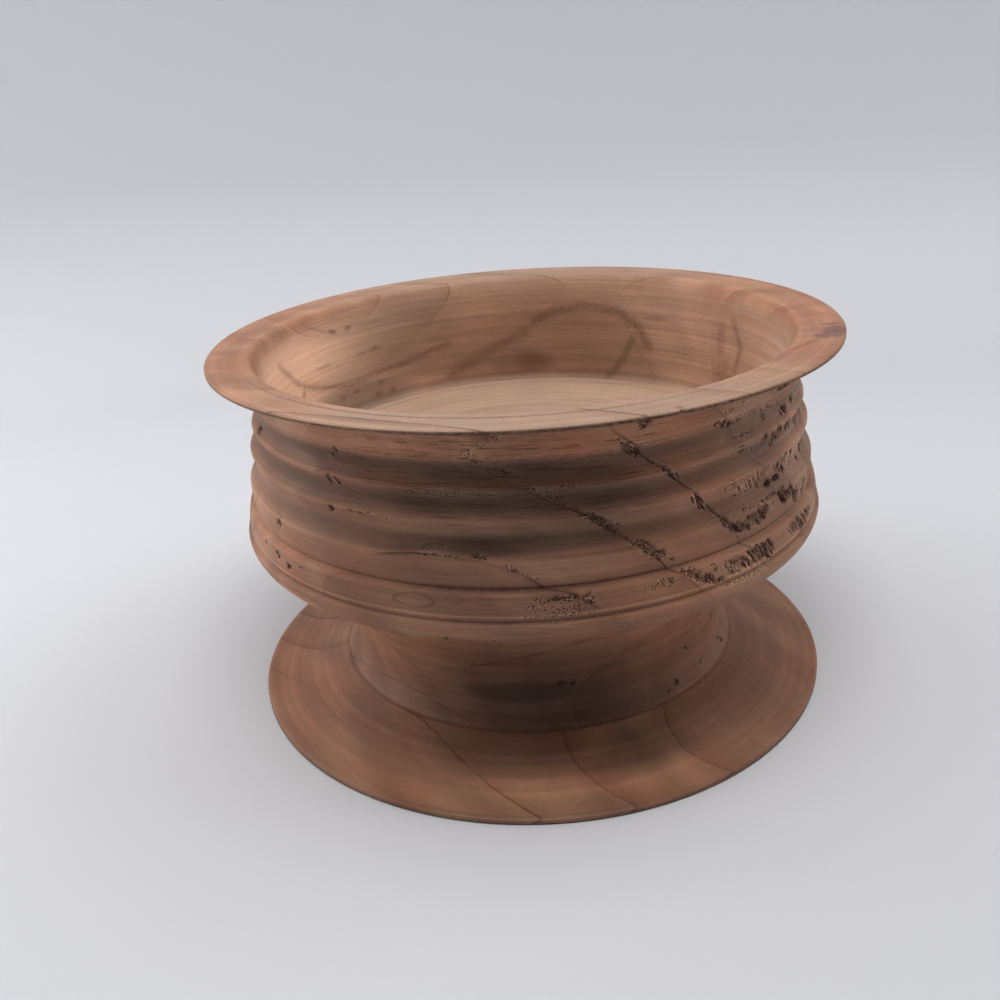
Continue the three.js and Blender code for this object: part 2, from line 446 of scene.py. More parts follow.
# Colour, from the broad tone to the fine marks
def woodColour(add, place, mark, grain, look):
    figure = add("TexNoise", {"Vector": grain["drawn"], "Scale": 1 / look["figureWidth"], "Detail": 3})
    light = add("MapRange", {0: figure, 1: 0.3, 2: 0.7}, **soft)
    clouds = add("TexNoise", {"Vector": place, "Scale": 1 / look["cloudWidth"], "Detail": 3})
    warm = add("MapRange", {0: clouds, 1: 0.4, 2: 0.68, 4: look["cloudAmount"]}, **soft)
    hues = add("TexNoise", {"Vector": place, "Scale": 1 / look["hueWidth"], "Detail": 2.5})
    olive, russet = [
        add("MapRange", {0: hues, 1: 0.5, 2: full, 4: look["hueAmount"]}, **soft)
        for full in (0.68, 0.32)
    ]
    late = add("Math", {0: grain["late"], 1: look["lateAmount"]}, operation="MULTIPLY")
    late = add("Math", {0: late, 1: mark["shown"]}, operation="MULTIPLY")
    # marks with broken edges
    edges = add("TexNoise", {"Vector": place, "Scale": 0.8, "Detail": 3})
    edges = add("MapRange", {0: edges, 1: 0.3, 2: 0.7, 3: 0.55, 4: 1.3})
    pale, dark, stain = [
        add("Math", {0: mark[name], 1: edges}, operation="MULTIPLY") for name in ("pale", "dark", "stain")
    ]
    pale = add("Math", {0: pale, 1: grain["ragged"]}, operation="MAXIMUM")
    pale, dark, stain = [
        add("Math", {0: amount, 1: 1.0}, operation="MINIMUM") for amount in (pale, dark, stain)
    ]
    hole = add("Math", {0: grain["holes"], 1: look["holeAmount"]}, operation="MULTIPLY")
    wood = (("light", light), ("warm", warm), ("olive", olive), ("russet", russet))
    worked = (("fresh", mark["fresh"]), ("late", late), ("pale", pale))
    colour = linear(look["deep"])
    for name, amount in wood + worked:
        colour = add("Mix", {0: amount, 6: colour, 7: linear(look[name])}, output=2, data_type="RGBA")
    shade = woodShade(add, mark, grain, look)
    colour = add("VectorMath", {0: colour, "Scale": shade}, operation="SCALE")
    for name, amount in (("line", grain["line"]), ("dark", dark), ("stain", stain), ("hole", hole)):
        colour = add("Mix", {0: amount, 6: colour, 7: linear(look[name])}, output=2, data_type="RGBA")
    return colour


# Relief too fine for the mesh, in millimetres
def woodRelief(add, grain, look):
    relief = 0.0
    for name, amount in (
        ("fibres", -look["fibreRelief"]),
        ("toolLines", look["toolRelief"]),
        ("holes", -look["holeRelief"]),
        ("line", -look["lineRelief"]),
        ("scratches", -look["scratchRelief"]),
    ):
        step = add("Math", {0: grain[name], 1: amount}, operation="MULTIPLY")
        relief = add("Math", {0: relief, 1: step}, operation="ADD")
    return add("Bump", {"Height": relief, "Distance": mm, "Strength": 1.0})


# What a mesh tells its wood at each of its points
markNames = (
    ("years", "pace", "inked", "shown")  # from growthMarks
    + ("tone", "fresh", "pale", "dark", "stain", "knot", "scored")  # from the piece's own shape function
    + ("rough", "sliver", "torn")  # from tornGrain
)


# One wood for a block of it: look holds its colours and the sizes of its marks in millimetres, block how it
# grew
def turnedWood(name, look, block):
    material, add = emptyMaterial(name)
    metres = add("TexCoord", output="Object")
    place = add("VectorMath", {0: metres, "Scale": 1 / mm}, operation="SCALE")
    mark = {kind: add("Attribute", output="Fac", attribute_name=kind) for kind in markNames}
    drawn = alongFibre(add, place, look, block)
    fibres = add("TexNoise", {"Vector": drawn, "Scale": 1 / look["fibreWidth"], "Detail": 2})
    grain = {"drawn": drawn, "fibres": fibres}
    for marks in (yearMarks, toolMarks, tornMarks):
        grain.update(marks(add, place, mark, look))
    duller, dullest = look["roughness"] - 0.05, look["roughness"] + 0.07
    roughness = add("MapRange", {0: fibres, 1: 0.2, 2: 0.8, 3: duller, 4: dullest})
    tornRoughness = add("Math", {0: grain["holes"], 1: look["holeRoughness"]}, operation="MULTIPLY")
    inputs = {
        "Base Color": woodColour(add, place, mark, grain, look),
        "Roughness": add("Math", {0: roughness, 1: tornRoughness}, operation="MAXIMUM"),
        "Normal": woodRelief(add, grain, look),
        "IOR": look["ior"],
        "Metallic": 0.0,
    }
    add("OutputMaterial", {"Surface": add("BsdfPrincipled", inputs)})
    return material


# Bare turned hardwood, cut and scraped on a lathe and never varnished: reddish brown, matte with a faint
# sheen
bareWood = {
    "fibreWidth": 0.38,  # real pores are about 0.1 mm wide: drawn as coarse as they need to show
    "fibreStretch": 0.07,  # width over length
    "fibreAmount": 0.06,
    "fibreRelief": 0.05,
    "figureWidth": 11,
    "cloudWidth": 34,
    "cloudAmount": 0.55,
    "lineWidth": 0.75,  # the dark line that ends a year
    "lineWaver": 5,
    "lineFade": 16,  # from where it is clear to where it is faintest
    "lineFaintest": 0.3,
    "lineAmount": 0.6,
    "knotAmount": 0.3,
    "lineRelief": 0.05,
    "lateShare": 0.3,  # of a year that is late wood, which is denser and darker
    "lateAmount": 0.3,
    "ringAmount": 0.07,
    "streakSize": (14, 14, 0.9),  # long round the piece and narrow up it
    "streakAmount": 0.045,
    "scratchSize": (9, 9, 0.26),
    "scratchAmount": 0.34,
    "scratchRelief": 0.2,
    "hueWidth": 24,
    "hueAmount": 0.22,
    "toolWidth": 0.45,  # from one line of the tool to the next
    "toolBandWidth": 2.25,
    "toolDrift": 0.012,  # how far the lines wander as they go round
    "toolAmount": 0.06,
    "bandAmount": 0.08,
    "toolRelief": 0.09,
    "crumbWidth": 0.42,
    "sliverWidth": 0.46,
    "raggedAmount": 0.65,
    "holeAmount": 0.82,
    "pitAmount": 0.42,
    "holeRelief": 0.5,
    "deep": "#a57d67",
    "light": "#bf957a",
    "warm": "#b17d61",
    "olive": "#a6876b",
    "russet": "#b67d63",
    "fresh": "#c3aa97",
    "late": "#976852",
    "line": "#4c2d22",
    "hole": "#4a2b20",
    "pale": "#d6b397",
    # for dark marks, and for the painted shadow along the lip's lower corner and the painted shade in the
    # groove
    "dark": "#65432f",
    "stain": "#6f5456",
    "roughness": 0.55,
    "holeRoughness": 0.85,
    "ior": 1.5,
}

# Where the chisel tore the grain instead of cutting it
tearKinds = {
    "radius": 82,  # of the wall, for lengths along it
    "crumbSize": 0.95,
    "sliverSize": 0.6,
    "sliverStretch": 0.13,  # width over length
    "sliverLean": 33,  # degrees from upright
    "edge": (1.3, 0.7),  # a patch fades out between these shares of its size
    "edgeWaves": ((2.2, 0.25, 7), (0.9, 0.2, 8)),  # size, strength and seed of the waves in its outline
    "seen": (0.08, 0.4),  # a pit begins to look dark at the first depth and is darkest at the second
}

# Patches on the bowl's wall: azimuth in degrees (0 is the front, + to the right) and height in millimetres,
# half width and half height in millimetres, turn of the patch, depth, how much of it is torn, and the kind of
# tear
wallTears = (
    # along the growth lines in front, where end grain crumbles
    (-11.9, 97.3, 1.6, 1, 10, 0.15, 0.5, "crumb"),
    (-10.7, 95.4, 1.7, 0.8, -35, 0.3, 0.75, "crumb"),
    (-9.3, 98.9, 1.6, 0.6, 0, 0.25, 0.55, "crumb"),
    (-7.2, 92.4, 3.4, 0.7, -8, 0.15, 0.6, "crumb"),
    (-1.6, 87.4, 1.3, 0.7, -30, 0.15, 0.5, "crumb"),
    (1.2, 86.3, 4, 1.2, -30, 0.15, 0.5, "crumb"),
    (2, 88.2, 6.5, 0.7, 0, 0.1, 0.35, "crumb"),
    (3.6, 83, 2.4, 0.6, -12, 0.2, 0.5, "crumb"),
    (6.2, 81.6, 2.6, 0.8, -20, 0.3, 0.6, "crumb"),
    (9, 79.2, 5.2, 1.2, -38, 0.55, 0.95, "crumb"),
    (11, 78, 2.6, 0.9, -20, 0.3, 0.6, "crumb"),
    (13.2, 74.4, 2.6, 0.35, -42, 0.35, 0.9, "crumb"),
    (15.6, 72.5, 2, 0.7, -15, 0.4, 0.85, "crumb"),
    (17.4, 70.3, 4, 1.5, -35, 0.6, 0.9, "crumb"),
    (20.2, 68, 2.6, 0.5, -42, 0.4, 0.8, "crumb"),
    (14.9, 95.1, 3.4, 1.1, -40, 0.55, 0.95, "crumb"),
    (13.2, 97.2, 1.4, 0.6, -60, 0.3, 0.7, "crumb"),
    (16.8, 95.6, 3.6, 0.7, 0, 0.15, 0.45, "crumb"),
    (19, 91, 2.8, 0.4, -42, 0.2, 0.55, "crumb"),
    (21.4, 88.3, 2.4, 0.7, -42, 0.35, 0.75, "crumb"),
    (22.9, 86.3, 3, 1, -42, 0.3, 0.7, "sliver"),
    (24.9, 83.4, 1.6, 0.3, -45, 0.2, 0.6, "sliver"),
    (26.7, 79.9, 1.8, 1.3, -50, 0.6, 0.95, "sliver"),
    (28, 77.9, 2.8, 0.9, -50, 0.5, 0.95, "sliver"),
    (30.6, 74.8, 2.4, 0.3, -52, 0.3, 0.8, "sliver"),
    (32, 72.6, 1.4, 0.7, -20, 0.4, 0.85, "crumb"),
    (-2, 62.4, 0.8, 0.5, 0, 0.2, 0.7, "crumb"),
    (2.3, 62.2, 4.6, 0.75, 0, 0.35, 0.8, "crumb"),
    (6.5, 61.4, 1.6, 1.6, 0, 0.3, 0.7, "crumb"),
    (1.6, 59.9, 8.2, 1.2, -4, 0.1, 0.4, "crumb"),
    (1.5, 58.1, 8, 0.5, 0, 0.15, 0.6, "crumb"),
    (0.8, 56.7, 2, 0.3, 0, 0.2, 0.6, "crumb"),
    (10.6, 57.1, 1.6, 0.4, 0, 0.15, 0.6, "crumb"),
    (-5.3, 69.7, 2.4, 0.5, -32, 0.25, 0.75, "crumb"),
    (-2.3, 67.6, 2, 0.3, -30, 0.2, 0.6, "crumb"),
    (16.7, 61.4, 1.6, 0.6, 0, 0.1, 0.4, "crumb"),
    (19.6, 62.2, 2.8, 0.8, -10, 0.25, 0.7, "crumb"),
    (-18, 87.3, 7, 0.8, 0, 0.08, 0.35, "crumb"),
    (-9.6, 87.3, 4, 0.8, 0, 0.08, 0.3, "crumb"),
    (-17, 72.6, 7, 0.5, 0, 0.1, 0.45, "crumb"),
    (-10.8, 72.6, 1.7, 0.5, -15, 0.35, 0.85, "crumb"),
    (-17, 74.6, 5.6, 0.5, 4, 0.15, 0.35, "crumb"),
    (-30, 80.6, 1.2, 1, 0, 0.2, 0.45, "crumb"),
    (-27, 80.4, 1, 0.9, 0, 0.2, 0.45, "crumb"),
    (-15.6, 61.5, 0.7, 0.5, 0, 0.1, 0.3, "crumb"),
    (-16.3, 51.2, 1.8, 1, -30, 0.3, 0.7, "crumb"),
    (-8.6, 51, 1.5, 0.8, 0, 0.4, 0.8, "crumb"),
    (12, 52.8, 2.4, 1, 0, 0.15, 0.45, "crumb"),
    (-7.3, 100.8, 2.2, 0.7, 0, 0.2, 0.6, "crumb"),
    (17.4, 100.8, 1.8, 1.3, 0, 0.25, 0.8, "crumb"),
    # on the right, where whole slivers lift out below each arris
    (25.6, 61.6, 4.6, 1.2, -25, 0.55, 0.9, "crumb"),
    (28, 59, 3.8, 1.2, -20, 0.55, 0.85, "crumb"),
    (29.4, 62, 1.6, 0.8, -25, 0.35, 0.7, "crumb"),
    (33.6, 60.4, 3.6, 2.2, 0, 0.35, 0.7, "crumb"),
    (38.6, 60.2, 5.6, 2.5, 0, 0.6, 0.85, "sliver"),
    (42.4, 60.3, 2, 2.5, 0, 0.75, 0.9, "sliver"),
    (51, 60.8, 3, 1.7, 0, 0.4, 0.6, "sliver"),
    (56.5, 60.3, 5.6, 2.2, 0, 0.6, 0.75, "sliver"),
    (35.3, 56.4, 9, 0.5, 0, 0.2, 0.5, "crumb"),
    (33, 70.4, 2.6, 0.8, -40, 0.6, 0.9, "crumb"),
    (35.6, 68.9, 3.4, 1.3, -25, 0.75, 0.95, "sliver"),
    (38.5, 69.4, 2.4, 1.9, 0, 0.5, 0.8, "sliver"),
    (41.4, 69.7, 2.8, 2.3, 0, 0.75, 0.9, "sliver"),
    (42.8, 70.4, 1.1, 1.5, 0, 0.95, 1, "sliver"),
    (45.6, 70.9, 1.6, 0.9, 0, 0.2, 0.4, "sliver"),
    (49.4, 70.3, 2.9, 1.7, -12, 0.95, 0.95, "sliver"),
    (52.6, 70.4, 1.8, 1.6, 0, 0.8, 0.85, "sliver"),
    (55.3, 68, 1.8, 3, 33, 0.6, 0.8, "sliver"),
    (60, 67.4, 2.6, 2, 20, 0.4, 0.6, "sliver"),
    (44, 72.6, 13, 0.35, 0, 0.3, 0.65, "crumb"),
    (35, 80.2, 1.6, 1.3, 0, 0.4, 0.7, "crumb"),
    (33.6, 79, 1, 0.6, -40, 0.3, 0.7, "crumb"),
    (38.4, 78.2, 2.6, 2, 0, 0.25, 0.5, "sliver"),
    (42, 78.6, 2.8, 2.4, 0, 0.35, 0.6, "sliver"),
    (39.4, 76.6, 5.6, 0.4, 0, 0.15, 0.55, "crumb"),
    (45.8, 75.5, 1.3, 0.8, 0, 0.9, 1, "sliver"),
    (48.6, 75.5, 2.4, 0.7, 0, 0.8, 0.95, "sliver"),
    (47, 79, 3, 2.2, 0, 0.25, 0.5, "sliver"),
    (51.4, 78.5, 3.2, 2.6, 0, 0.5, 0.75, "sliver"),
    (55.5, 77.6, 2, 2.4, 0, 0.4, 0.6, "sliver"),
    (60, 75.5, 1.3, 0.8, 0, 0.5, 0.7, "sliver"),
    (65, 77.5, 3.4, 2.2, 0, 0.5, 0.7, "sliver"),
    (38.4, 87.6, 1.4, 0.9, -30, 0.4, 0.75, "crumb"),
    (41, 86.2, 2.6, 1, -30, 0.25, 0.6, "sliver"),
    (45.5, 87.4, 1.7, 1.2, 0, 0.4, 0.7, "sliver"),
    (48.4, 86.4, 1.9, 1.8, 0, 0.5, 0.7, "sliver"),
    (51.6, 86.4, 2.6, 2, 0, 0.65, 0.85, "sliver"),
    (55.8, 86.2, 2.9, 2, 0, 0.5, 0.8, "sliver"),
    (61, 86, 3, 2, 0, 0.55, 0.75, "sliver"),
    (67, 86.2, 3, 2, 0, 0.5, 0.75, "sliver"),
    (33, 95.9, 2.6, 1.2, -15, 0.4, 0.8, "crumb"),
    (34.8, 95.2, 1.2, 0.8, -20, 0.65, 1, "crumb"),
    (36.5, 95.4, 2.6, 1, -10, 0.3, 0.65, "crumb"),
    (41, 95.7, 6, 0.9, -6, 0.2, 0.5, "crumb"),
    (48, 95, 5, 0.9, -8, 0.2, 0.45, "sliver"),
    (36.2, 91.4, 2.6, 0.5, -20, 0.2, 0.6, "crumb"),
    (40.6, 90.7, 4, 0.5, 0, 0.25, 0.65, "crumb"),
    (46.6, 92.4, 1.7, 0.8, -35, 0.5, 0.75, "crumb"),
    (54.6, 91, 2.6, 1, 0, 0.7, 0.85, "sliver"),
    (62, 92, 4, 1.6, 0, 0.5, 0.6, "sliver"),
    (70, 94, 3, 2, 0, 0.5, 0.6, "sliver"),
    (37, 98.9, 5, 0.5, 6, 0.15, 0.5, "crumb"),
    (52.6, 98.2, 5.6, 0.5, -4, 0.4, 0.7, "crumb"),
    # on the left
    (-37.2, 94.8, 1.3, 1, 30, 0.7, 0.8, "sliver"),
    (-39, 92.8, 1.8, 0.9, 30, 0.6, 0.7, "sliver"),
    (-38.4, 87.2, 3.2, 1.2, 0, 0.6, 0.6, "sliver"),
    (-38.6, 80, 0.8, 0.9, 0, 0.5, 0.8, "sliver"),
    (-32.5, 80.7, 3.2, 0.6, 0, 0.3, 0.5, "crumb"),
    (-54.5, 70.5, 1.2, 1.4, -35, 0.6, 0.8, "crumb"),
    (-50.5, 60.6, 1, 1.1, -35, 0.6, 0.8, "crumb"),
    (-54.5, 61.3, 1.4, 0.8, -40, 0.4, 0.7, "crumb"),
    (-60, 62.3, 1.6, 0.7, -15, 0.5, 0.7, "crumb"),
    (-46.5, 61.9, 1, 0.6, 0, 0.4, 0.7, "crumb"),
    (-67.5, 90, 2, 1.3, 0, 0.8, 0.9, "crumb"),
    # behind, across from the slivers on the right, where the chisel met the same grain again
    (-158, 61, 5.5, 2, 0, 0.5, 0.75, "sliver"),
    (-150, 60, 4.5, 2.2, 0, 0.6, 0.8, "sliver"),
    (-143, 61.4, 3, 1.4, -20, 0.4, 0.7, "crumb"),
    (-155, 69.6, 3.5, 1.9, 0, 0.7, 0.85, "sliver"),
    (-148, 69.9, 2.6, 1.8, 0, 0.6, 0.85, "sliver"),
    (-140, 70.8, 3.4, 0.7, -20, 0.35, 0.6, "crumb"),
    (-152, 78.4, 4.5, 2.2, 0, 0.45, 0.65, "sliver"),
    (-144, 77.2, 2, 1.4, 0, 0.5, 0.7, "sliver"),
    (-160, 86.4, 4, 1.7, 0, 0.5, 0.7, "sliver"),
    (-151, 86.6, 3, 1.5, 0, 0.4, 0.7, "sliver"),
    (-157, 95.2, 5, 1, 0, 0.3, 0.6, "crumb"),
    (-134, 86.8, 3, 0.8, -30, 0.25, 0.6, "crumb"),
    (152, 62, 2.6, 0.9, 20, 0.3, 0.6, "crumb"),
    (146, 71, 2.2, 0.6, 20, 0.25, 0.6, "crumb"),
    (118, 79, 1.6, 1, 30, 0.35, 0.7, "crumb"),
    (131, 94.8, 2, 0.8, 0, 0.25, 0.6, "crumb"),
    (-106, 70.4, 1.6, 1.1, -30, 0.4, 0.7, "crumb"),
    (-118, 61, 2, 0.8, 0, 0.3, 0.6, "crumb"),
)


# How deep each point of a turned wall is torn, in millimetres, how rough it is there, and whether in slivers
def tornGrain(azimuth, height, tears, radius):
    deepest, rough, sliver = np.zeros(len(azimuth)), np.zeros(len(azimuth)), np.zeros(len(azimuth))
    lean = math.radians(tearKinds["sliverLean"])
    for patch, (az, z, halfWidth, halfHeight, turn, deep, cover, kind) in enumerate(tears):
        aside = (azimuth - az + 180) % 360 - 180
        reach = 1.5 * max(halfWidth, halfHeight)
        near = (np.abs(aside) < math.degrees(reach / radius)) & (np.abs(height - z) < reach)
        u, v = np.radians(aside[near]) * radius, height[near] - z
        flat = np.stack([u + 40 * patch, v], 1)
        c, s = math.cos(math.radians(turn)), math.sin(math.radians(turn))
        away = np.hypot((u * c + v * s) / halfWidth, (v * c - u * s) / halfHeight)
        for size, strength, seed in tearKinds["edgeWaves"]:
            away += smoothNoise(flat / size, seed) * strength
        inside = softStep(*tearKinds["edge"], away)
        if kind == "crumb":
            texture = smoothNoise(flat / tearKinds["crumbSize"], 3)
            texture += smoothNoise(flat * 2 / tearKinds["crumbSize"], 4) * 0.4
        else:
            across = flat[:, 0] * math.cos(lean) + v * math.sin(lean)
            along = (v * math.cos(lean) - flat[:, 0] * math.sin(lean)) * tearKinds["sliverStretch"]
            drawn = np.stack([across, along], 1) / tearKinds["sliverSize"]
            texture = smoothNoise(drawn, 5) + smoothNoise(drawn * 2, 6) * 0.3
        pits = softStep(0.8 - 1.1 * cover, 1.15 - 1.1 * cover, texture)
        deepest[near] = np.maximum(deepest[near], deep * inside * pits)
        more = inside * cover > rough[near]
        index = np.flatnonzero(near)[more]
        rough[index] = (inside * cover)[more]
        sliver[index] = 1.0 if kind == "sliver" else 0.0
    return deepest, rough, sliver


# The bowl
bowlLow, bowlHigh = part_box("bowl")
bowl = {
    "seat": bowlLow.z / mm,
    "rimRadius": bowlHigh.x / mm,
    "mortiseRadius": 27.3,
    "mortiseDepth": 11,
    "seatRadius": 70.8,
    "bareRise": 1,  # how far up from the seat the wood has no marks
    "arris": (82.4, 4.8),  # radius, and height above the seat
    "belly": (85.9, 10.6),
    "bellyTurn": 50,
    # the wall's bands from the belly up: rise, radius at the top, and how far each is hollowed in
    "bands": (
        (0.7, 85.5, -0.1),
        (0.4, 84.6, 0),
        (0.5, 84.9, 0),
        (6.1, 84.2, -0.3),
        (1.1, 82.2, 0),
        (0.5, 82.6, 0),
        (6.5, 82.9, -0.15),
        (9.8, 81.4, 1.6),
        (6.9, 80, 1.3),
        (7.7, 79.8, 1.5),
        (4.1, 79.3, 0),
    ),
    "lipRise": 6.5,
    "lipEdge": 1.1,
    "lipEdgeRound": 0.4,
    "lipUndersideTurn": 65,
    "lipInnerRadius": 78.6,
    "lipFall": 0.4,
    "lipTurn": 8,
    "insideTopRadius": 75.8,
    "insideFloorRadius": 73.6,
    "insideCorner": 2.2,
    "baseThickness": 24.2,
    "wallColumns": 1280,
    "insideColumns": 640,
    "hiddenColumns": 160,
    "fewestColumns": 20,  # in the middle of the floor
    # how far apart the mesh's rows are, where hollowed() and arc() don't say it
    "hiddenStep": 12,
    "undercutStep": 1.2,
    "lipStep": 0.5,
    "edgeStep": 0.4,
    "topStep": 0.35,
    "insideStep": 0.9,
    "floorStep": 1.2,
}


# The bowl's outline from the mortise's floor out, up the wall, over the lip and down the inside
def bowlRows():
    seat = bowl["seat"]
    arris = (bowl["arris"][0], seat + bowl["arris"][1])
    belly = (bowl["belly"][0], seat + bowl["belly"][1])
    hidden = [(0, seat + bowl["mortiseDepth"])]
    hidden += straight(
        [
            hidden[0],
            (bowl["mortiseRadius"], seat + bowl["mortiseDepth"]),
            (bowl["mortiseRadius"], seat),
            (bowl["seatRadius"], seat),
        ],
        bowl["hiddenStep"],
    )
    undercut = straight([hidden[-1], arris], bowl["undercutStep"])
    wall = list(reversed(arc(belly, arris, "upright", bowl["bellyTurn"])[:-1])) + [belly]
    for rise, radius, hollow in bowl["bands"]:
        below = wall[-1]
        wall += hollowed(below, (radius, below[1] + rise), hollow)
    top = wall[-1][1] + bowl["lipRise"]
    rimUnder = (bowl["rimRadius"], top - bowl["lipEdge"])
    lip = arc(wall[-1], rimUnder, "upright", bowl["lipUndersideTurn"], bowl["lipStep"])
    edgeTop = (bowl["rimRadius"], top - bowl["lipEdgeRound"])
    lip += straight([rimUnder, edgeTop, (bowl["rimRadius"] - bowl["lipEdgeRound"], top)], bowl["edgeStep"])
    inner = (bowl["lipInnerRadius"], top - bowl["lipFall"])
    insideTop = (bowl["insideTopRadius"], inner[1] - bowl["lipTurn"])
    floor = seat + bowl["baseThickness"]
    cornerTop = (bowl["insideFloorRadius"], floor + bowl["insideCorner"])
    floorEdge = (bowl["insideFloorRadius"] - bowl["insideCorner"], floor)
    inside = straight([lip[-1], inner], bowl["topStep"])
    inside += arc(inner, insideTop, "level")
    inside += straight([insideTop, cornerTop], bowl["insideStep"])
    inside += arc(cornerTop, floorEdge, "upright", 90, bowl["edgeStep"])
    rows = [(r, z, bowl["hiddenColumns"]) for r, z in hidden]
    rows += [(r, z, bowl["insideColumns"]) for r, z in undercut]
    rows += [(r, z, bowl["wallColumns"]) for r, z in wall + lip]
    rows += [(r, z, bowl["insideColumns"]) for r, z in inside]
    # the floor, with fewer columns as its rings get smaller
    columns, r = bowl["insideColumns"], floorEdge[0]
    while columns >= bowl["fewestColumns"]:
        smaller = r / 2
        count = max(3, math.ceil((r - smaller) / bowl["floorStep"]))
        for i in range(1, count + 1):
            rows.append((r + (smaller - r) * i / count, floor, columns))
        columns, r = columns // 2, smaller
    rows.append((0, floor, 1))
    return rows


# Soft marks, outside where they are in front and inside where they are behind: azimuth in degrees and height
# in millimetres, half width and half height in millimetres, turn in degrees, and strength
bowlMarks = {
    "edge": (1.35, 0.35),  # a mark fades out between these shares of its size
    "dark": (
        # inside
        (139, 92, 5, 1, 0, 0.35),
        (117, 89, 2.5, 6, 0, 0.25),
        (115, 77, 6, 6, 0, 0.3),
        (175, 75.5, 7, 3.5, 0, 0.4),
        (221, 97.5, 6, 1, 0, 0.2),
        (229, 98, 2, 0.9, 0, 0.5),
        (234.5, 98.3, 2.6, 0.9, 20, 0.55),
        (240, 100.8, 6, 0.6, 24, 0.35),
        (221.5, 88.6, 3.4, 0.7, 0, 0.45),
        (226, 88.3, 2, 0.6, 0, 0.4),
        (240, 88, 5, 0.6, 0, 0.3),
        (217.5, 72.5, 1.4, 1.2, 0, 0.5),
        (222.5, 72.5, 1.6, 1.2, 0, 0.5),
        (221, 76.5, 1.6, 0.8, 0, 0.4),
        (230, 76, 1.8, 0.8, 0, 0.45),
        (235, 75.6, 1.5, 0.8, 0, 0.35),
        (252, 87, 1.8, 1.2, 30, 0.4),
        # outside, from the lip down to the undercut
        (-8.6, 100.9, 3, 1.3, 0, 0.5),
        (17.6, 100.9, 2.2, 1.4, 0, 0.45),
        (2.6, 64, 3.4, 0.7, -15, 0.5),
        (1, 63, 7, 1.2, 0, 0.15),
        (-24, 73.4, 9, 0.6, 4, 0.35),
        (-13, 73.5, 5, 0.5, -4, 0.5),
        (-16, 91, 9, 0.6, 0, 0.35),
        (-5, 91.2, 8, 0.35, 0, 0.4),
        (-14.5, 50.8, 9, 1.2, 0, 0.45),
        (15, 73.6, 3.6, 0.7, -20, 0.3),
        (3.6, 83.4, 3.4, 0.8, -14, 0.35),
        (9, 84, 5, 0.8, 0, 0.15),
        # these two: painted shade in the groove near 64 mm
        (-4, 64.3, 34, 0.5, 0, 0.65),
        (14, 64.5, 9, 0.7, 3, 0.3),
        (-11, 73.3, 10, 1.1, 0, 0.5),
        (10, 71.9, 24, 0.35, 0, 0.4),
    ),
    "pale": (
        (-17.5, 72.9, 7.6, 0.8, 0, 0.6),
        (-17.5, 73.9, 3, 0.7, 0, 0.3),
        (142.5, 87.4, 10, 0.35, 0, 0.5),
        (183, 87.3, 6.5, 0.35, 0, 0.5),
        (0, 57.7, 7, 0.2, 0, 0.5),
        (34.5, 92.5, 2, 2, 30, 0.3),
        (45.6, 70, 1.6, 1.6, 0, 0.3),
    ),
}

# How light the wood is there: lighter inside and on the lip, darker outside. The patches are painted shade,
# the lighter ones painted light, and the corner inside is painted shade too. Each patch: azimuth, height (on
# the lip radius), half width, half height, turn and how much darker or lighter.
bowlTones = {
    "inside": 1.22,
    "floor": 0.98,
    "corner": 0.8,
    "cornerReach": (4, 0.5),  # above the floor, from where its shade begins to where it is darkest
    "lip": 1.0,
    "outside": 0.86,
    "patches": (
        (-8, 87.5, 44, 10, -5, 0.26),
        (-26, 78, 22, 13, 0, 0.08),
        (-6, 76.5, 14, 5, 0, 0.28),
        (0, 48, 60, 5, 0, 0.1),
        (-33, 62, 16, 7, 0, 0.05),
    ),
    "lighter": (
        (-2, 97.7, 80, 2.7, 0, 0.6),
        (0, 70, 46, 4, 0, 0.24),
        (-64, 68, 28, 16, 0, 0.32),
        (64, 87, 24, 16, 0, 0.36),
        (29, 86, 22, 12, 0, 0.3),
        (27, 60, 20, 8, 0, 0.12),
        (-50, 51, 16, 3.5, 0, 0.5),
        (50, 51, 10, 3, 0, 0.4),
    ),
    "insidePatches": (
        (172, 80, 66, 22, 0, 0.33),
        (178, 75, 20, 8, 0, 0.44),
        (128, 85, 40, 24, 0, 0.12),
        (206, 88, 28, 18, 0, 0.33),
        (228, 72, 30, 8, 0, 0.4),
    ),
    "insideLighter": ((258, 92, 34, 18, 0, 0.52),),
    "lipPatches": ((0, 84, 78, 14, 0, 0.2), (180, 84, 70, 14, 0, 0.12)),
}

# Where the wood looks freshly scraped: inside by azimuth and height, on the lip by azimuth and radius
freshWood = {
    "floor": 0.9,
    "wall": 0.9,
    # less fresh low on the wall behind, as part of the painted shade there
    "lessFreshInShade": ((172, 80, 70, 24, 0, 0.6), (124, 86, 44, 26, 0, 0.45)),
    "lip": ((-2, 84, 78, 14, 0, 0.7), (180, 84, 90, 14, 0, 0.5)),
}

# How strongly the tool scored the outside: azimuth, height, half width, half height, turn and how much
scoring = (
    (-6, 90, 62, 17, 0, 1),
    (0, 62, 50, 14, 0, 0.5),
    (50, 80, 40, 30, 0, 0.5),
    (-60, 80, 40, 30, 0, 0.3),
)

# Soft dark forms inside, where the growth lines show through: points by azimuth and height, half width,
# strength
innerForms = (
    (((141, 82), (145, 89), (151, 93.6), (160, 95.3), (168, 93.4), (174, 90)), 2.6, 0.42),
    (((146, 84), (149, 76), (153, 70)), 2.2, 0.4),
    (((177, 86), (188, 80), (199, 73.5)), 3.4, 0.3),
    (((199, 85), (212, 81), (232, 79), (243, 82), (251, 86), (260, 96)), 1.6, 0.35),
    (((250, 84), (253, 78), (249, 73)), 1.6, 0.4),
    (((113, 96), (109, 88), (111, 78)), 2, 0.35),
)

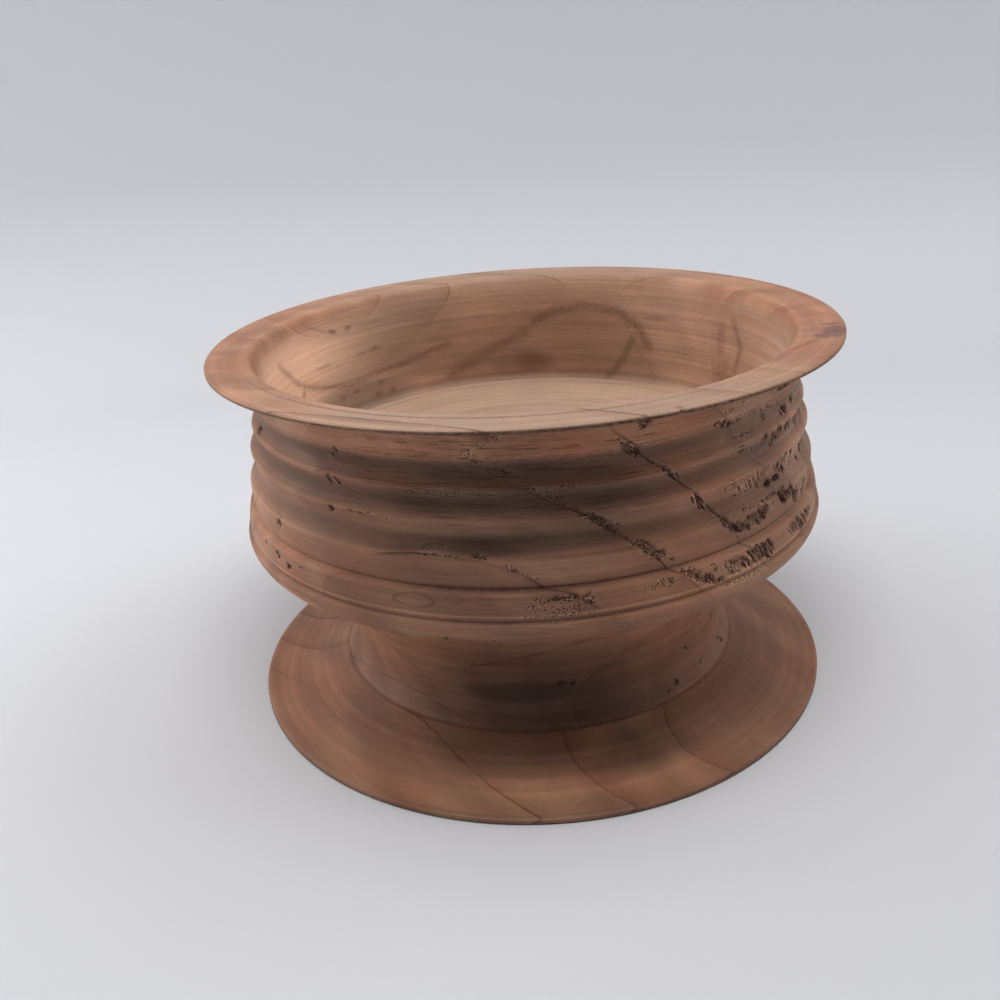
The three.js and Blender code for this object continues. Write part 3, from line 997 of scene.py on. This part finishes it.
# Where the growth lines fade out, outside: azimuth, height, half width, half height, turn and how much.
# Inside they are faint all over.
fadedLines = {
    "outside": (
        (-30, 96, 22, 7, 0, 1),
        (-36, 68, 8, 7, 0, 0.9),
        (11, 56, 12, 5, 0, 0.85),
        (9.5, 100.5, 4.5, 5, 0, 0.9),
        (30, 54, 14, 6, 0, 0.8),
        (44, 58, 12, 8, 0, 0.7),
        (-60, 76, 34, 42, 0, 0.9),
        (-8, 90.9, 9.5, 2.5, -18, 0.8),
        (-30.5, 69.5, 5, 4.5, 40, 0.9),
    ),
    "inside": 0.75,
}

# The lip's own marks, by azimuth and radius, and its rough lower edge and a painted shadow along that edge,
# by azimuth and height
lipMarks = {
    "radius": 88,
    "stain": ((70, 87, 7, 3.4, 0, 0.9), (67, 84.5, 3, 3, 0, 0.8), (75.5, 86, 1.4, 3.5, 0, 0.7)),
    "stainAmount": 0.62,
    "stainEdge": (0.25, 0.6),
    "dark": ((20, 88.3, 0.5, 2.2, 0, 0.8), (60, 81, 9, 1, 20, 0.4), (52, 79, 8, 1.2, 0, 0.3)),
    "pale": ((-22, 89.4, 34, 0.9, 0, 0.75), (26, 89.4, 30, 0.7, 0, 0.5)),
    "faded": ((-84, 84, 42, 12, 0, 0.75), (150, 84, 60, 12, 0, 0.6)),
    "nick": 20,  # the azimuth of a nick in the lip's edge
    "nickHalf": (0.7, 1.2),
    "nickDepth": 0.5,
    "edgeWidth": 0.7,  # of the radius: from here on the wood is marked as the lip and the inside
    "edgeReach": (2.4, 2.6),  # how far in and how far down the edge's own marks go
    "rough": ((8, 105, 75, 0.9, 0, 0.5),),
    # painted shadow along the lip's lower corner
    "edge": ((0, 105.5, 115, 0.5, 0, 0.75),),
    "line": ((-16, 81, 78, 0.45, 0, 0.5),),  # a groove round the lip's top
    "lineDepth": 0.25,
}

# The small knots' outlines: azimuth, height, half width and half height, and how far the left is worn
knots = ((-22.8, 61.4, 6, 1.9, 0.35), (-15, 62.5, 1.8, 0.95, 0))
noKnot = 2.0  # a knot's outline is drawn where its mark is 1

# Rows of short scores where the chisel chattered: height, first and last azimuth, pitch, half height and
# depth
chatter = {
    "rows": (
        (95.6, -12, 19, 5.2, 0.22, 0.1),
        (96.3, -36, -4, 6.1, 0.2, 0.08),
        (94.6, -22, 16, 7.3, 0.2, 0.08),
        (92.2, -16, 9, 6.7, 0.2, 0.08),
        (87.6, -26, 2, 5.7, 0.2, 0.06),
        (99.2, -30, -12, 8.1, 0.15, 0.05),
        (97.8, -2, 24, 9.3, 0.15, 0.05),
    ),
    "slant": 0.35,  # of a pitch, over a score's half height
    "dashEdge": (0.35, 0.75),  # a score fades in between these values of its wave
    "dark": 0.5,
}

# Painted shade and highlights on the ribs: each cove is a little darker, as painted shade, and each arris a
# little paler, as a painted highlight. Each has its height, half height and strength, and a cove the share of
# it that is left away from the front.
ribs = {
    "coves": (
        (92.8, 3.2, 0.5, 1),
        (85.2, 2.6, 0.5, 1),
        (75.1, 3.3, 0.62, 0.55),
        (64.4, 0.8, 0.1, 1),
        (56.6, 0.5, 0.1, 1),
    ),
    "arrises": (
        (88.5, 0.7, 0.38),
        (81.3, 0.8, 0.14),
        (71.7, 0.6, 0.14),
        (63.5, 0.4, 0.15),
        (58.2, 0.5, 0.5),
        (49.9, 0.5, 0.3),
    ),
    "front": -5,  # the azimuth where the painted shade lies thickest, and how far it reaches to either side
    "frontReach": (24, 4),
    "unevenSize": (11, 3),  # of the waves in it, in degrees and millimetres
    "uneven": (0.85, 0.3),
    "unevenBehind": 0.6,  # the share of it that is left behind
    "unevenMiddle": -14,
}


# How strongly each point lies in one of some soft marks
def softMarks(azimuth, height, marks, radius):
    strongest = np.zeros(len(azimuth))
    for az, z, halfWidth, halfHeight, turn, strength in marks:
        u = np.radians((azimuth - az + 180) % 360 - 180) * radius
        v = height - z
        c, s = math.cos(math.radians(turn)), math.sin(math.radians(turn))
        away = np.hypot((u * c + v * s) / halfWidth, (v * c - u * s) / halfHeight)
        strongest = np.maximum(strongest, strength * softStep(*bowlMarks["edge"], away))
    return strongest


# How close each point lies to a soft line through some places: 1 on it, 0 beyond its half width
def softLine(azimuth, height, places, half, radius):
    nearest = np.full(len(azimuth), np.inf)
    for (az, z), (nextAz, nextZ) in zip(places, places[1:]):
        u = np.radians((azimuth - az + 180) % 360 - 180) * radius
        v = height - z
        run, rise = math.radians(nextAz - az) * radius, nextZ - z
        t = np.clip((u * run + v * rise) / (run**2 + rise**2), 0, 1)
        nearest = np.minimum(nearest, np.hypot(u - t * run, v - t * rise))
    return softStep(half, half * 0.1, nearest)


# Marks the outside of the wall and the lip's underside, and gives back how deep the wood is cut there
def markOutside(marks, part, azimuth, z):
    a, h, radius = azimuth[part], z[part], tearKinds["radius"]
    deep, marks["rough"][part], marks["sliver"][part] = tornGrain(a, h, wallTears, radius)
    marks["torn"][part] = softStep(*tearKinds["seen"], deep)
    inFront = np.abs(a) < 90
    dark = softMarks(a, h, bowlMarks["dark"], radius) * inFront
    marks["pale"][part] = softMarks(a, h, bowlMarks["pale"], radius) * inFront
    marks["faded"][part] = softMarks(a, h, fadedLines["outside"], radius)
    marks["scored"][part] = softMarks(a, h, scoring, radius)
    for height, first, last, pitch, half, cut in chatter["rows"]:
        u = np.radians(a - first) * radius
        turns = u / pitch + chatter["slant"] * (h - height) / half
        dash = softStep(*chatter["dashEdge"], np.sin(2 * math.pi * turns))
        there = softStep(1.3, 0.6, np.abs(h - height) / half) * ((a > first) & (a < last)) * dash
        deep = np.maximum(deep, cut * there)
        dark = np.maximum(dark, chatter["dark"] * there)
    marks["dark"][part] = dark
    knot = np.full(len(a), noKnot)
    for az, height, halfWidth, halfHeight, worn in knots:
        u = np.radians(a - az) * radius
        ring = np.hypot(u / halfWidth, (h - height) / halfHeight)
        knot = np.minimum(knot, ring + worn * softStep(0.3, -0.5, u / halfWidth))
    marks["knot"][part] = knot
    (wide, tall), (middle, swing), least = ribs["unevenSize"], ribs["uneven"], ribs["unevenBehind"]
    uneven = smoothNoise(np.stack([a / wide, h / tall], 1), 61) * swing + middle
    uneven *= least + (1 - least) * np.cos(np.radians(a - ribs["unevenMiddle"])).clip(0)
    # painted shade and painted light: darker and lighter patches, darker coves and paler arrises
    tone = 1 - softMarks(a, h, bowlTones["patches"], radius)
    tone *= 1 + softMarks(a, h, bowlTones["lighter"], radius)
    front = softStep(*ribs["frontReach"], np.abs(a - ribs["front"]))
    for height, half, strength, share in ribs["coves"]:
        spread = uneven * (share + (1 - share) * front)
        tone *= 1 - strength * spread * softStep(1.3, 0.15, np.abs(h - height) / half)
    for height, half, strength in ribs["arrises"]:
        tone *= 1 + strength * softStep(1.2, 0.2, np.abs(h - height) / half)
    marks["tone"][part] = bowlTones["outside"] * tone
    return deep


# Marks the inside and the lip's top, which go over into each other on the turn between them, and gives back
# how deep the wood is cut there
def markInside(marks, part, azimuth, r, z):
    a, lipRadius, wallRadius = azimuth[part], lipMarks["radius"], bowl["insideTopRadius"]
    r, z = r[part], z[part]
    level, top = bowl["seat"] + bowl["baseThickness"], z.max()
    lip = softStep(top - bowl["lipTurn"], top - 1.5 * bowl["lipFall"], z)
    floor = r < bowl["insideFloorRadius"] - bowl["insideCorner"] + 0.3
    # painted shade, darkest low on the wall behind and in the corner, painted light on the left of the wall,
    # and a pale floor
    tone = bowlTones["inside"] * (1 - softMarks(a, z, bowlTones["insidePatches"], wallRadius))
    tone *= 1 + softMarks(a, z, bowlTones["insideLighter"], wallRadius)
    shadeTop, shadeBottom = bowlTones["cornerReach"]
    tone *= 1 - (1 - bowlTones["corner"]) * softStep(level + shadeTop, level + shadeBottom, z)
    tone[floor] = bowlTones["floor"]
    lipTone = bowlTones["lip"] * (1 - softMarks(a, r, bowlTones["lipPatches"], lipRadius))
    marks["tone"][part] = tone * (1 - lip) + lipTone * lip
    fresh = freshWood["wall"] * (1 - softMarks(a, z, freshWood["lessFreshInShade"], wallRadius))
    fresh[floor] = freshWood["floor"]
    marks["fresh"][part] = fresh * (1 - lip) + softMarks(a, r, freshWood["lip"], lipRadius) * lip
    faded = softMarks(a, r, lipMarks["faded"], lipRadius)
    marks["faded"][part] = fadedLines["inside"] * (1 - lip) + faded * lip
    behind = np.abs(a) > 90
    marks["pale"][part] = softMarks(a, z, bowlMarks["pale"], wallRadius) * behind * (1 - lip)
    marks["pale"][part] += softMarks(a, r, lipMarks["pale"], lipRadius) * lip
    dark = softMarks(a, z, bowlMarks["dark"], wallRadius) * behind
    for places, half, strength in innerForms:
        dark = np.maximum(dark, strength * softLine(a, z, places, half, wallRadius) * ~floor)
    line = softMarks(a, r, lipMarks["line"], lipRadius)
    lipDark = np.maximum(softMarks(a, r, lipMarks["dark"], lipRadius), line)
    marks["dark"][part] = dark * (1 - lip) + lipDark * lip
    stained = softStep(*lipMarks["stainEdge"], softMarks(a, r, lipMarks["stain"], lipRadius))
    marks["stain"][part] = lipMarks["stainAmount"] * stained * lip
    return lipMarks["lineDepth"] * line * lip


# How deep each point of the bowl is cut, and its marks
def bowlShape(points, rowOf, outline):
    azimuth, r, z = azimuthOf(points), outline[rowOf, 0], points[:, 2]
    edgeRows = np.flatnonzero(outline[:, 0] > bowl["rimRadius"] - lipMarks["edgeWidth"])
    inner = rowOf >= edgeRows[0]
    outside = ~inner & (z > bowl["seat"] + bowl["bareRise"]) & (r > bowl["seatRadius"])
    names = ("rough", "sliver", "torn", "dark", "pale", "stain", "faded", "scored", "fresh")
    marks = {name: np.zeros(len(points)) for name in names}
    marks["tone"] = np.full(len(points), bowlTones["outside"])
    marks["knot"] = np.full(len(points), noKnot)
    depth = np.zeros(len(points))
    depth[outside] = markOutside(marks, outside, azimuth, z)
    depth[inner] = markInside(marks, inner, azimuth, r, z)
    # a nick in the lip's edge in front, a ragged lower corner, and a painted shadow along that corner
    across, down = lipMarks["edgeReach"]
    edge = (z > z.max() - down) & (r > bowl["rimRadius"] - across)
    nick, half = lipMarks["nick"], lipMarks["nickHalf"]
    aside = np.radians(azimuth[edge] - nick) * lipMarks["radius"]
    away = np.hypot(aside / half[0], (r[edge] - bowl["rimRadius"]) / half[1])
    depth[edge] += lipMarks["nickDepth"] * softStep(1.2, 0.4, away)
    ragged = softMarks(azimuth[edge], z[edge], lipMarks["rough"], bowl["rimRadius"])
    marks["rough"][edge] = np.maximum(marks["rough"][edge], ragged)
    # painted shadow along the lip's lower corner, drawn as a dark mark
    worn = softMarks(azimuth[edge], z[edge], lipMarks["edge"], bowl["rimRadius"])
    marks["dark"][edge] = np.maximum(marks["dark"][edge], worn)
    return depth, marks


bowlPiece = turnedPiece("turned_bowl", bowlRows(), trunkBlock, bowlShape)

# The stem
stemLow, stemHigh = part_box("stem")
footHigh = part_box("foot")[1]
stem = {
    "seat": footHigh.z / mm,
    "top": bowlLow.z / mm,
    "lowerEnd": stemLow.z / mm,
    "upperEnd": stemHigh.z / mm,
    "lowerSpigot": 24,
    "upperSpigot": 27,
    "bead": (61.9, 1.5),  # radius, and height above the seat
    "beadRound": 1.3,  # the bead rises out of the foot over this width
    "beadTurn": 55,
    "seam": 0.1,  # how wide and high the gap over the foot is
    "neckTurn": 62,  # degrees, from upright at the waist
    "waist": (57.8, 11),
    "topRadius": stemHigh.x / mm,
    "flareTurn": 65,
    "columns": 800,
    "hiddenColumns": 100,
    "hiddenStep": 12,
    "seamStep": 0.3,
    "beadStep": 0.25,
    "neckStep": 0.5,
    "flareStep": 0.6,
    "endMargin": 0.5,  # no wood is torn this close to either end of the neck
}


# The stem's outline from the lower spigot's end to the upper one's
def stemRows():
    seat = stem["seat"]
    bead = (stem["bead"][0], seat + stem["bead"][1])
    waist = (stem["waist"][0], seat + stem["waist"][1])
    top = (stem["topRadius"], stem["top"])
    lower = [(0, stem["lowerEnd"])]
    lower += straight(
        [
            lower[0],
            (stem["lowerSpigot"], stem["lowerEnd"]),
            (stem["lowerSpigot"], seat),
            (bead[0] - stem["seam"], seat),
        ],
        stem["hiddenStep"],
    )
    softened = (bead[0] - stem["beadRound"], bead[1])
    side = straight([lower[-1], (bead[0], seat + stem["seam"])], stem["seamStep"])
    side += arc(side[-1], softened, "level", stem["beadTurn"], stem["beadStep"])
    side += list(reversed(arc(waist, softened, "upright", stem["neckTurn"], stem["neckStep"])[:-1])) + [waist]
    side += arc(waist, top, "upright", stem["flareTurn"], stem["flareStep"])
    upper = straight(
        [
            top,
            (stem["upperSpigot"], top[1]),
            (stem["upperSpigot"], stem["upperEnd"]),
            (0, stem["upperEnd"]),
        ],
        stem["hiddenStep"],
    )
    rows = [(r, z, stem["hiddenColumns"]) for r, z in lower]
    rows += [(r, z, stem["columns"]) for r, z in side]
    rows += [(r, z, stem["hiddenColumns"]) for r, z in upper]
    return rows


# A few pits in the neck
stemTears = (
    (61.4, 21.5, 2.6, 1, -30, 0.4, 0.7, "crumb"),
    (44.7, 19.1, 1.6, 0.8, -30, 0.4, 0.8, "crumb"),
    (66.2, 11, 2.4, 1, -30, 0.4, 0.7, "crumb"),
    (51, 11.5, 1.6, 0.8, -30, 0.35, 0.7, "crumb"),
    (38, 11.5, 1.6, 1, 0, 0.35, 0.7, "crumb"),
    (35.6, 10.6, 1, 0.6, 0, 0.3, 0.7, "crumb"),
    (3.8, 21.3, 1.4, 0.8, 0, 0.5, 1, "crumb"),
    (6.7, 20.5, 1, 0.7, 0, 0.5, 1, "crumb"),
    (-150, 24, 2.4, 0.9, 20, 0.4, 0.7, "crumb"),
    (160, 18, 2, 0.8, -20, 0.4, 0.7, "crumb"),
)

# The neck is darker low down all round and darkest low down in front, all painted shade
stemTones = {
    "neck": 1.0,
    "lowShade": 0.2,
    "lowShadeTop": 26,
    "patches": ((-2, 20, 38, 18, 0, 0.56), (-7, 19, 24, 6, 0, 0.74)),
    "faded": ((50, 22, 44, 26, 0, 0.8), (-50, 18, 30, 20, 0, 0.5)),
}


# How deep each point of the stem is cut, and its marks
def stemShape(points, rowOf, outline):
    azimuth, z, radius = azimuthOf(points), points[:, 2], stem["waist"][0]
    depth, rough, sliver = tornGrain(azimuth, z, stemTears, radius)
    neck = (z > stem["seat"] + stem["endMargin"]) & (z < stem["top"] - stem["endMargin"])
    depth = depth * neck
    # painted shade, darker low down and darkest in front
    tone = stemTones["neck"] * (1 - softMarks(azimuth, z, stemTones["patches"], radius))
    low = softStep(stemTones["lowShadeTop"], stem["seat"] + stem["bead"][1], z)
    marks = {
        "torn": softStep(*tearKinds["seen"], depth),
        "rough": rough * neck,
        "sliver": sliver,
        "tone": tone * (1 - stemTones["lowShade"] * low),
        "faded": softMarks(azimuth, z, stemTones["faded"], radius),
    }
    return depth, marks


stemPiece = turnedPiece("turned_stem", stemRows(), stemBlock, stemShape)

# The foot
foot = {
    "radius": footHigh.x / mm,
    "edge": 1.9,
    "edgeRound": 0.5,
    "seat": footHigh.z / mm,
    "seatRadius": 61.9,
    "riseTurn": 25,
    "mortiseRadius": 24.3,
    "mortiseFloor": 3,
    "columns": 800,
    "hiddenColumns": 100,
    "hiddenStep": 12,
    "edgeStep": 0.35,
    "riseStep": 0.6,
}


# The foot's outline from the middle of its underside out, up to the seat and down into the mortise
def footRows():
    outer, edge, edgeRound = foot["radius"], foot["edge"], foot["edgeRound"]
    topEdge = (outer - edgeRound, edge)
    under = straight([(0, 0), (outer - edgeRound, 0)], foot["hiddenStep"])
    rim = straight([under[-1], (outer, edgeRound), (outer, edge - edgeRound), topEdge], foot["edgeStep"])
    rise = arc(topEdge, (foot["seatRadius"], foot["seat"]), "level", foot["riseTurn"], foot["riseStep"])
    mortise = straight(
        [
            rise[-1],
            (foot["mortiseRadius"], foot["seat"]),
            (foot["mortiseRadius"], foot["mortiseFloor"]),
            (0, foot["mortiseFloor"]),
        ],
        foot["hiddenStep"],
    )
    rows = [(0, 0, 1)]
    rows += [(r, z, foot["hiddenColumns"]) for r, z in under]
    rows += [(r, z, foot["columns"]) for r, z in rim + rise]
    rows += [(r, z, foot["hiddenColumns"]) for r, z in mortise]
    return rows


# Painted shade on the foot, darkest close to the neck in front, and on its edge; the lighter patches are
# painted
# light. Each patch: azimuth, radius, half width, half height, turn and how much
footTones = {
    "top": 0.82,
    "edge": 0.7,
    "edgeTop": 0.1,  # the edge's tone ends this far below its upper corner
    "radius": 70,  # for lengths along the foot
    "patches": (
        (-10, 66, 26, 8, 0, 0.4),
        (0, 88.2, 44, 1.5, 0, 0.34),
        (18, 71, 14, 8, 0, 0.42),
        (4, 87, 26, 6, 0, 0.2),
        (72, 76, 34, 16, 0, 0.06),
    ),
    "lighter": ((6, 78, 36, 4, 0, 0.2), (-72, 76, 40, 14, 0, 0.22)),
    "faded": ((-62, 74, 34, 20, 0, 0.9),),
}


# How deep each point of the foot is cut, which is nowhere, and its marks
def footShape(points, rowOf, outline):
    azimuth, r, radius = azimuthOf(points), outline[rowOf, 0], footTones["radius"]
    # painted shade near the neck and on the edge, painted light further out
    tone = footTones["top"] * (1 - softMarks(azimuth, r, footTones["patches"], radius))
    tone *= 1 + softMarks(azimuth, r, footTones["lighter"], radius)
    tone[points[:, 2] < foot["edge"] - footTones["edgeTop"]] = footTones["edge"]
    faded = softMarks(azimuth, r, footTones["faded"], radius)
    return np.zeros(len(points)), {"tone": tone, "faded": faded}


footPiece = turnedPiece("turned_foot", footRows(), footBlock, footShape)

bowlWood = turnedWood("bareTurnedBowlWood", bareWood, trunkBlock)
stemWood = turnedWood("bareTurnedStemWood", bareWood, stemBlock)
footWood = turnedWood("bareTurnedFootWood", bareWood, footBlock)
for piece, material, node in (
    (bowlPiece, bowlWood, "bowl"),
    (stemPiece, stemWood, "stem"),
    (footPiece, footWood, "foot"),
):
    piece.data.materials.append(material)
    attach(piece, "root")
    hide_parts(node)
print("bowl, stem and foot dressed")

# The sweep that it stands on: a round floor that curves up all the way round, with its middle in front of the
# bowl
sweep = {
    "floorRadius": 0.78,
    "bend": 0.12,
    "height": 1.5,
    "middle": -0.45,
    "floorSteps": 8,
    "bendSteps": 24,
    "columns": 96,
    "floorColour": "#d8d9dc",
    "wallColour": "#c5c6c9",
    "wallStart": 0.02,  # between these two heights one tone goes over into the other
    "wallEnd": 0.3,
}


# A mesh of the sweep, open at the top
def makeSweep():
    edge, bend, columns = sweep["floorRadius"], sweep["bend"], sweep["columns"]
    line = [(edge * i / sweep["floorSteps"], 0) for i in range(1, sweep["floorSteps"] + 1)]
    for i in range(1, sweep["bendSteps"] + 1):
        angle = i / sweep["bendSteps"] * math.pi / 2
        line.append((edge + bend * math.sin(angle), bend * (1 - math.cos(angle))))
    line.append((edge + bend, sweep["height"]))
    points = [(0, sweep["middle"], 0)]
    for r, z in line:
        for k in range(columns):
            angle = 2 * math.pi * k / columns
            points.append((r * math.cos(angle), sweep["middle"] + r * math.sin(angle), z))
    faces = [(0, 1 + k, 1 + (k + 1) % columns) for k in range(columns)]
    for i in range(len(line) - 1):
        for k in range(columns):
            a, b = 1 + i * columns + k, 1 + i * columns + (k + 1) % columns
            faces.append((a, a + columns, b + columns, b))
    mesh = bpy.data.meshes.new("sweep")
    mesh.from_pydata(points, [], faces)
    mesh.polygons.foreach_set("use_smooth", [True] * len(faces))
    made = bpy.data.objects.new("sweep", mesh)
    bpy.context.scene.collection.objects.link(made)
    return made


# Plain matte card, with painted shade that makes it a little darker up the wall
def paleCard():
    material, add = emptyMaterial("paleCard")
    metres = add("TexCoord", output="Object")
    height = add("SeparateXYZ", {0: metres}, output="Z")
    climb = add("MapRange", {0: height, 1: sweep["wallStart"], 2: sweep["wallEnd"]}, **soft)
    low, high = linear(sweep["floorColour"]), linear(sweep["wallColour"])
    colour = add("Mix", {0: climb, 6: low, 7: high}, output=2, data_type="RGBA")
    surface = add("BsdfPrincipled", {"Base Color": colour, "Roughness": 0.8, "IOR": 1.45})
    add("OutputMaterial", {"Surface": surface})
    return material


floor = makeSweep()
floor.data.materials.append(paleCard())

# Soft boxes all aimed at the bowl: azimuth and rise above level in degrees, distance in metres, and power in
# watts. The strongest is over the front of it, and low ones on both sides light the walls.
lights = {
    "aim": (0, 0, 0.06),
    "size": 0.4,
    "roomColour": "#d5d9e0",  # of the faint light from all round
    "roomStrength": 0.02,
    "boxes": (
        {"name": "frontTopBox", "azimuth": 0, "rise": 70, "away": 0.84, "watts": 2.9},
        {"name": "topBox", "azimuth": 0, "rise": 90, "away": 0.85, "watts": 1.0},
        {"name": "rightTopBox", "azimuth": 90, "rise": 60, "away": 0.75, "watts": 1.42},
        {"name": "leftTopBox", "azimuth": 270, "rise": 60, "away": 0.75, "watts": 0.45},
        {"name": "leftFrontBox", "azimuth": 315, "rise": 60, "away": 0.75, "watts": 0.22},
        {"name": "leftBackBox", "azimuth": 240, "rise": 35, "away": 0.6, "watts": 0.7},
        {"name": "rightLowBox", "azimuth": 90, "rise": 8, "away": 0.6, "watts": 0.56},
        {"name": "leftLowBox", "azimuth": 270, "rise": 8, "away": 0.6, "watts": 1.09},
    ),
}
for box in lights["boxes"]:
    data = bpy.data.lights.new(box["name"], "AREA")
    data.shape = "SQUARE"
    data.size = lights["size"]
    data.energy = box["watts"]
    lamp = bpy.data.objects.new(box["name"], data)
    bpy.context.scene.collection.objects.link(lamp)
    turn, rise = math.radians(box["azimuth"]), math.radians(box["rise"])
    away = Vector((math.cos(rise) * math.sin(turn), -math.cos(rise) * math.cos(turn), math.sin(rise)))
    lamp.location = Vector(lights["aim"]) + box["away"] * away
    lamp.rotation_euler = away.to_track_quat("Z", "Y").to_euler()
    lamp.visible_camera = False

world = bpy.data.worlds.new("paleRoom")
bpy.context.scene.world = world
world.use_nodes = True
background = world.node_tree.nodes["Background"]
background.inputs["Color"].default_value = linear(lights["roomColour"])
background.inputs["Strength"].default_value = lights["roomStrength"]
print("sweep and lights in place")

# The camera: a phone's lens close to the bowl, looking down on it and held a little out of level
view = {
    "at": (-0.00954, -0.28758, 0.17564),
    "pitchDown": 23.296,
    "roll": 4.022,
    "lens": 36.015,
    "sensor": 36,
    "clipStart": 0.01,
    "contrast": 0.8,  # below 1 deepens the darks, as a phone does
}
cameraData = bpy.data.cameras.new("camera")
cameraData.lens = view["lens"]
cameraData.sensor_width = view["sensor"]
cameraData.clip_start = view["clipStart"]
camera = bpy.data.objects.new("camera", cameraData)
bpy.context.scene.collection.objects.link(camera)
pitch, roll = math.radians(view["pitchDown"]), math.radians(view["roll"])
right, up = Vector((1, 0, 0)), Vector((0, math.sin(pitch), math.cos(pitch)))
tiltedRight = right * math.cos(roll) - up * math.sin(roll)
tiltedUp = right * math.sin(roll) + up * math.cos(roll)
turn = Matrix((tiltedRight, tiltedUp, tiltedRight.cross(tiltedUp))).transposed().to_4x4()
camera.matrix_world = Matrix.Translation(view["at"]) @ turn
bpy.context.scene.camera = camera
bpy.context.scene.view_settings.view_transform = "Standard"
bpy.context.scene.view_settings.gamma = view["contrast"]
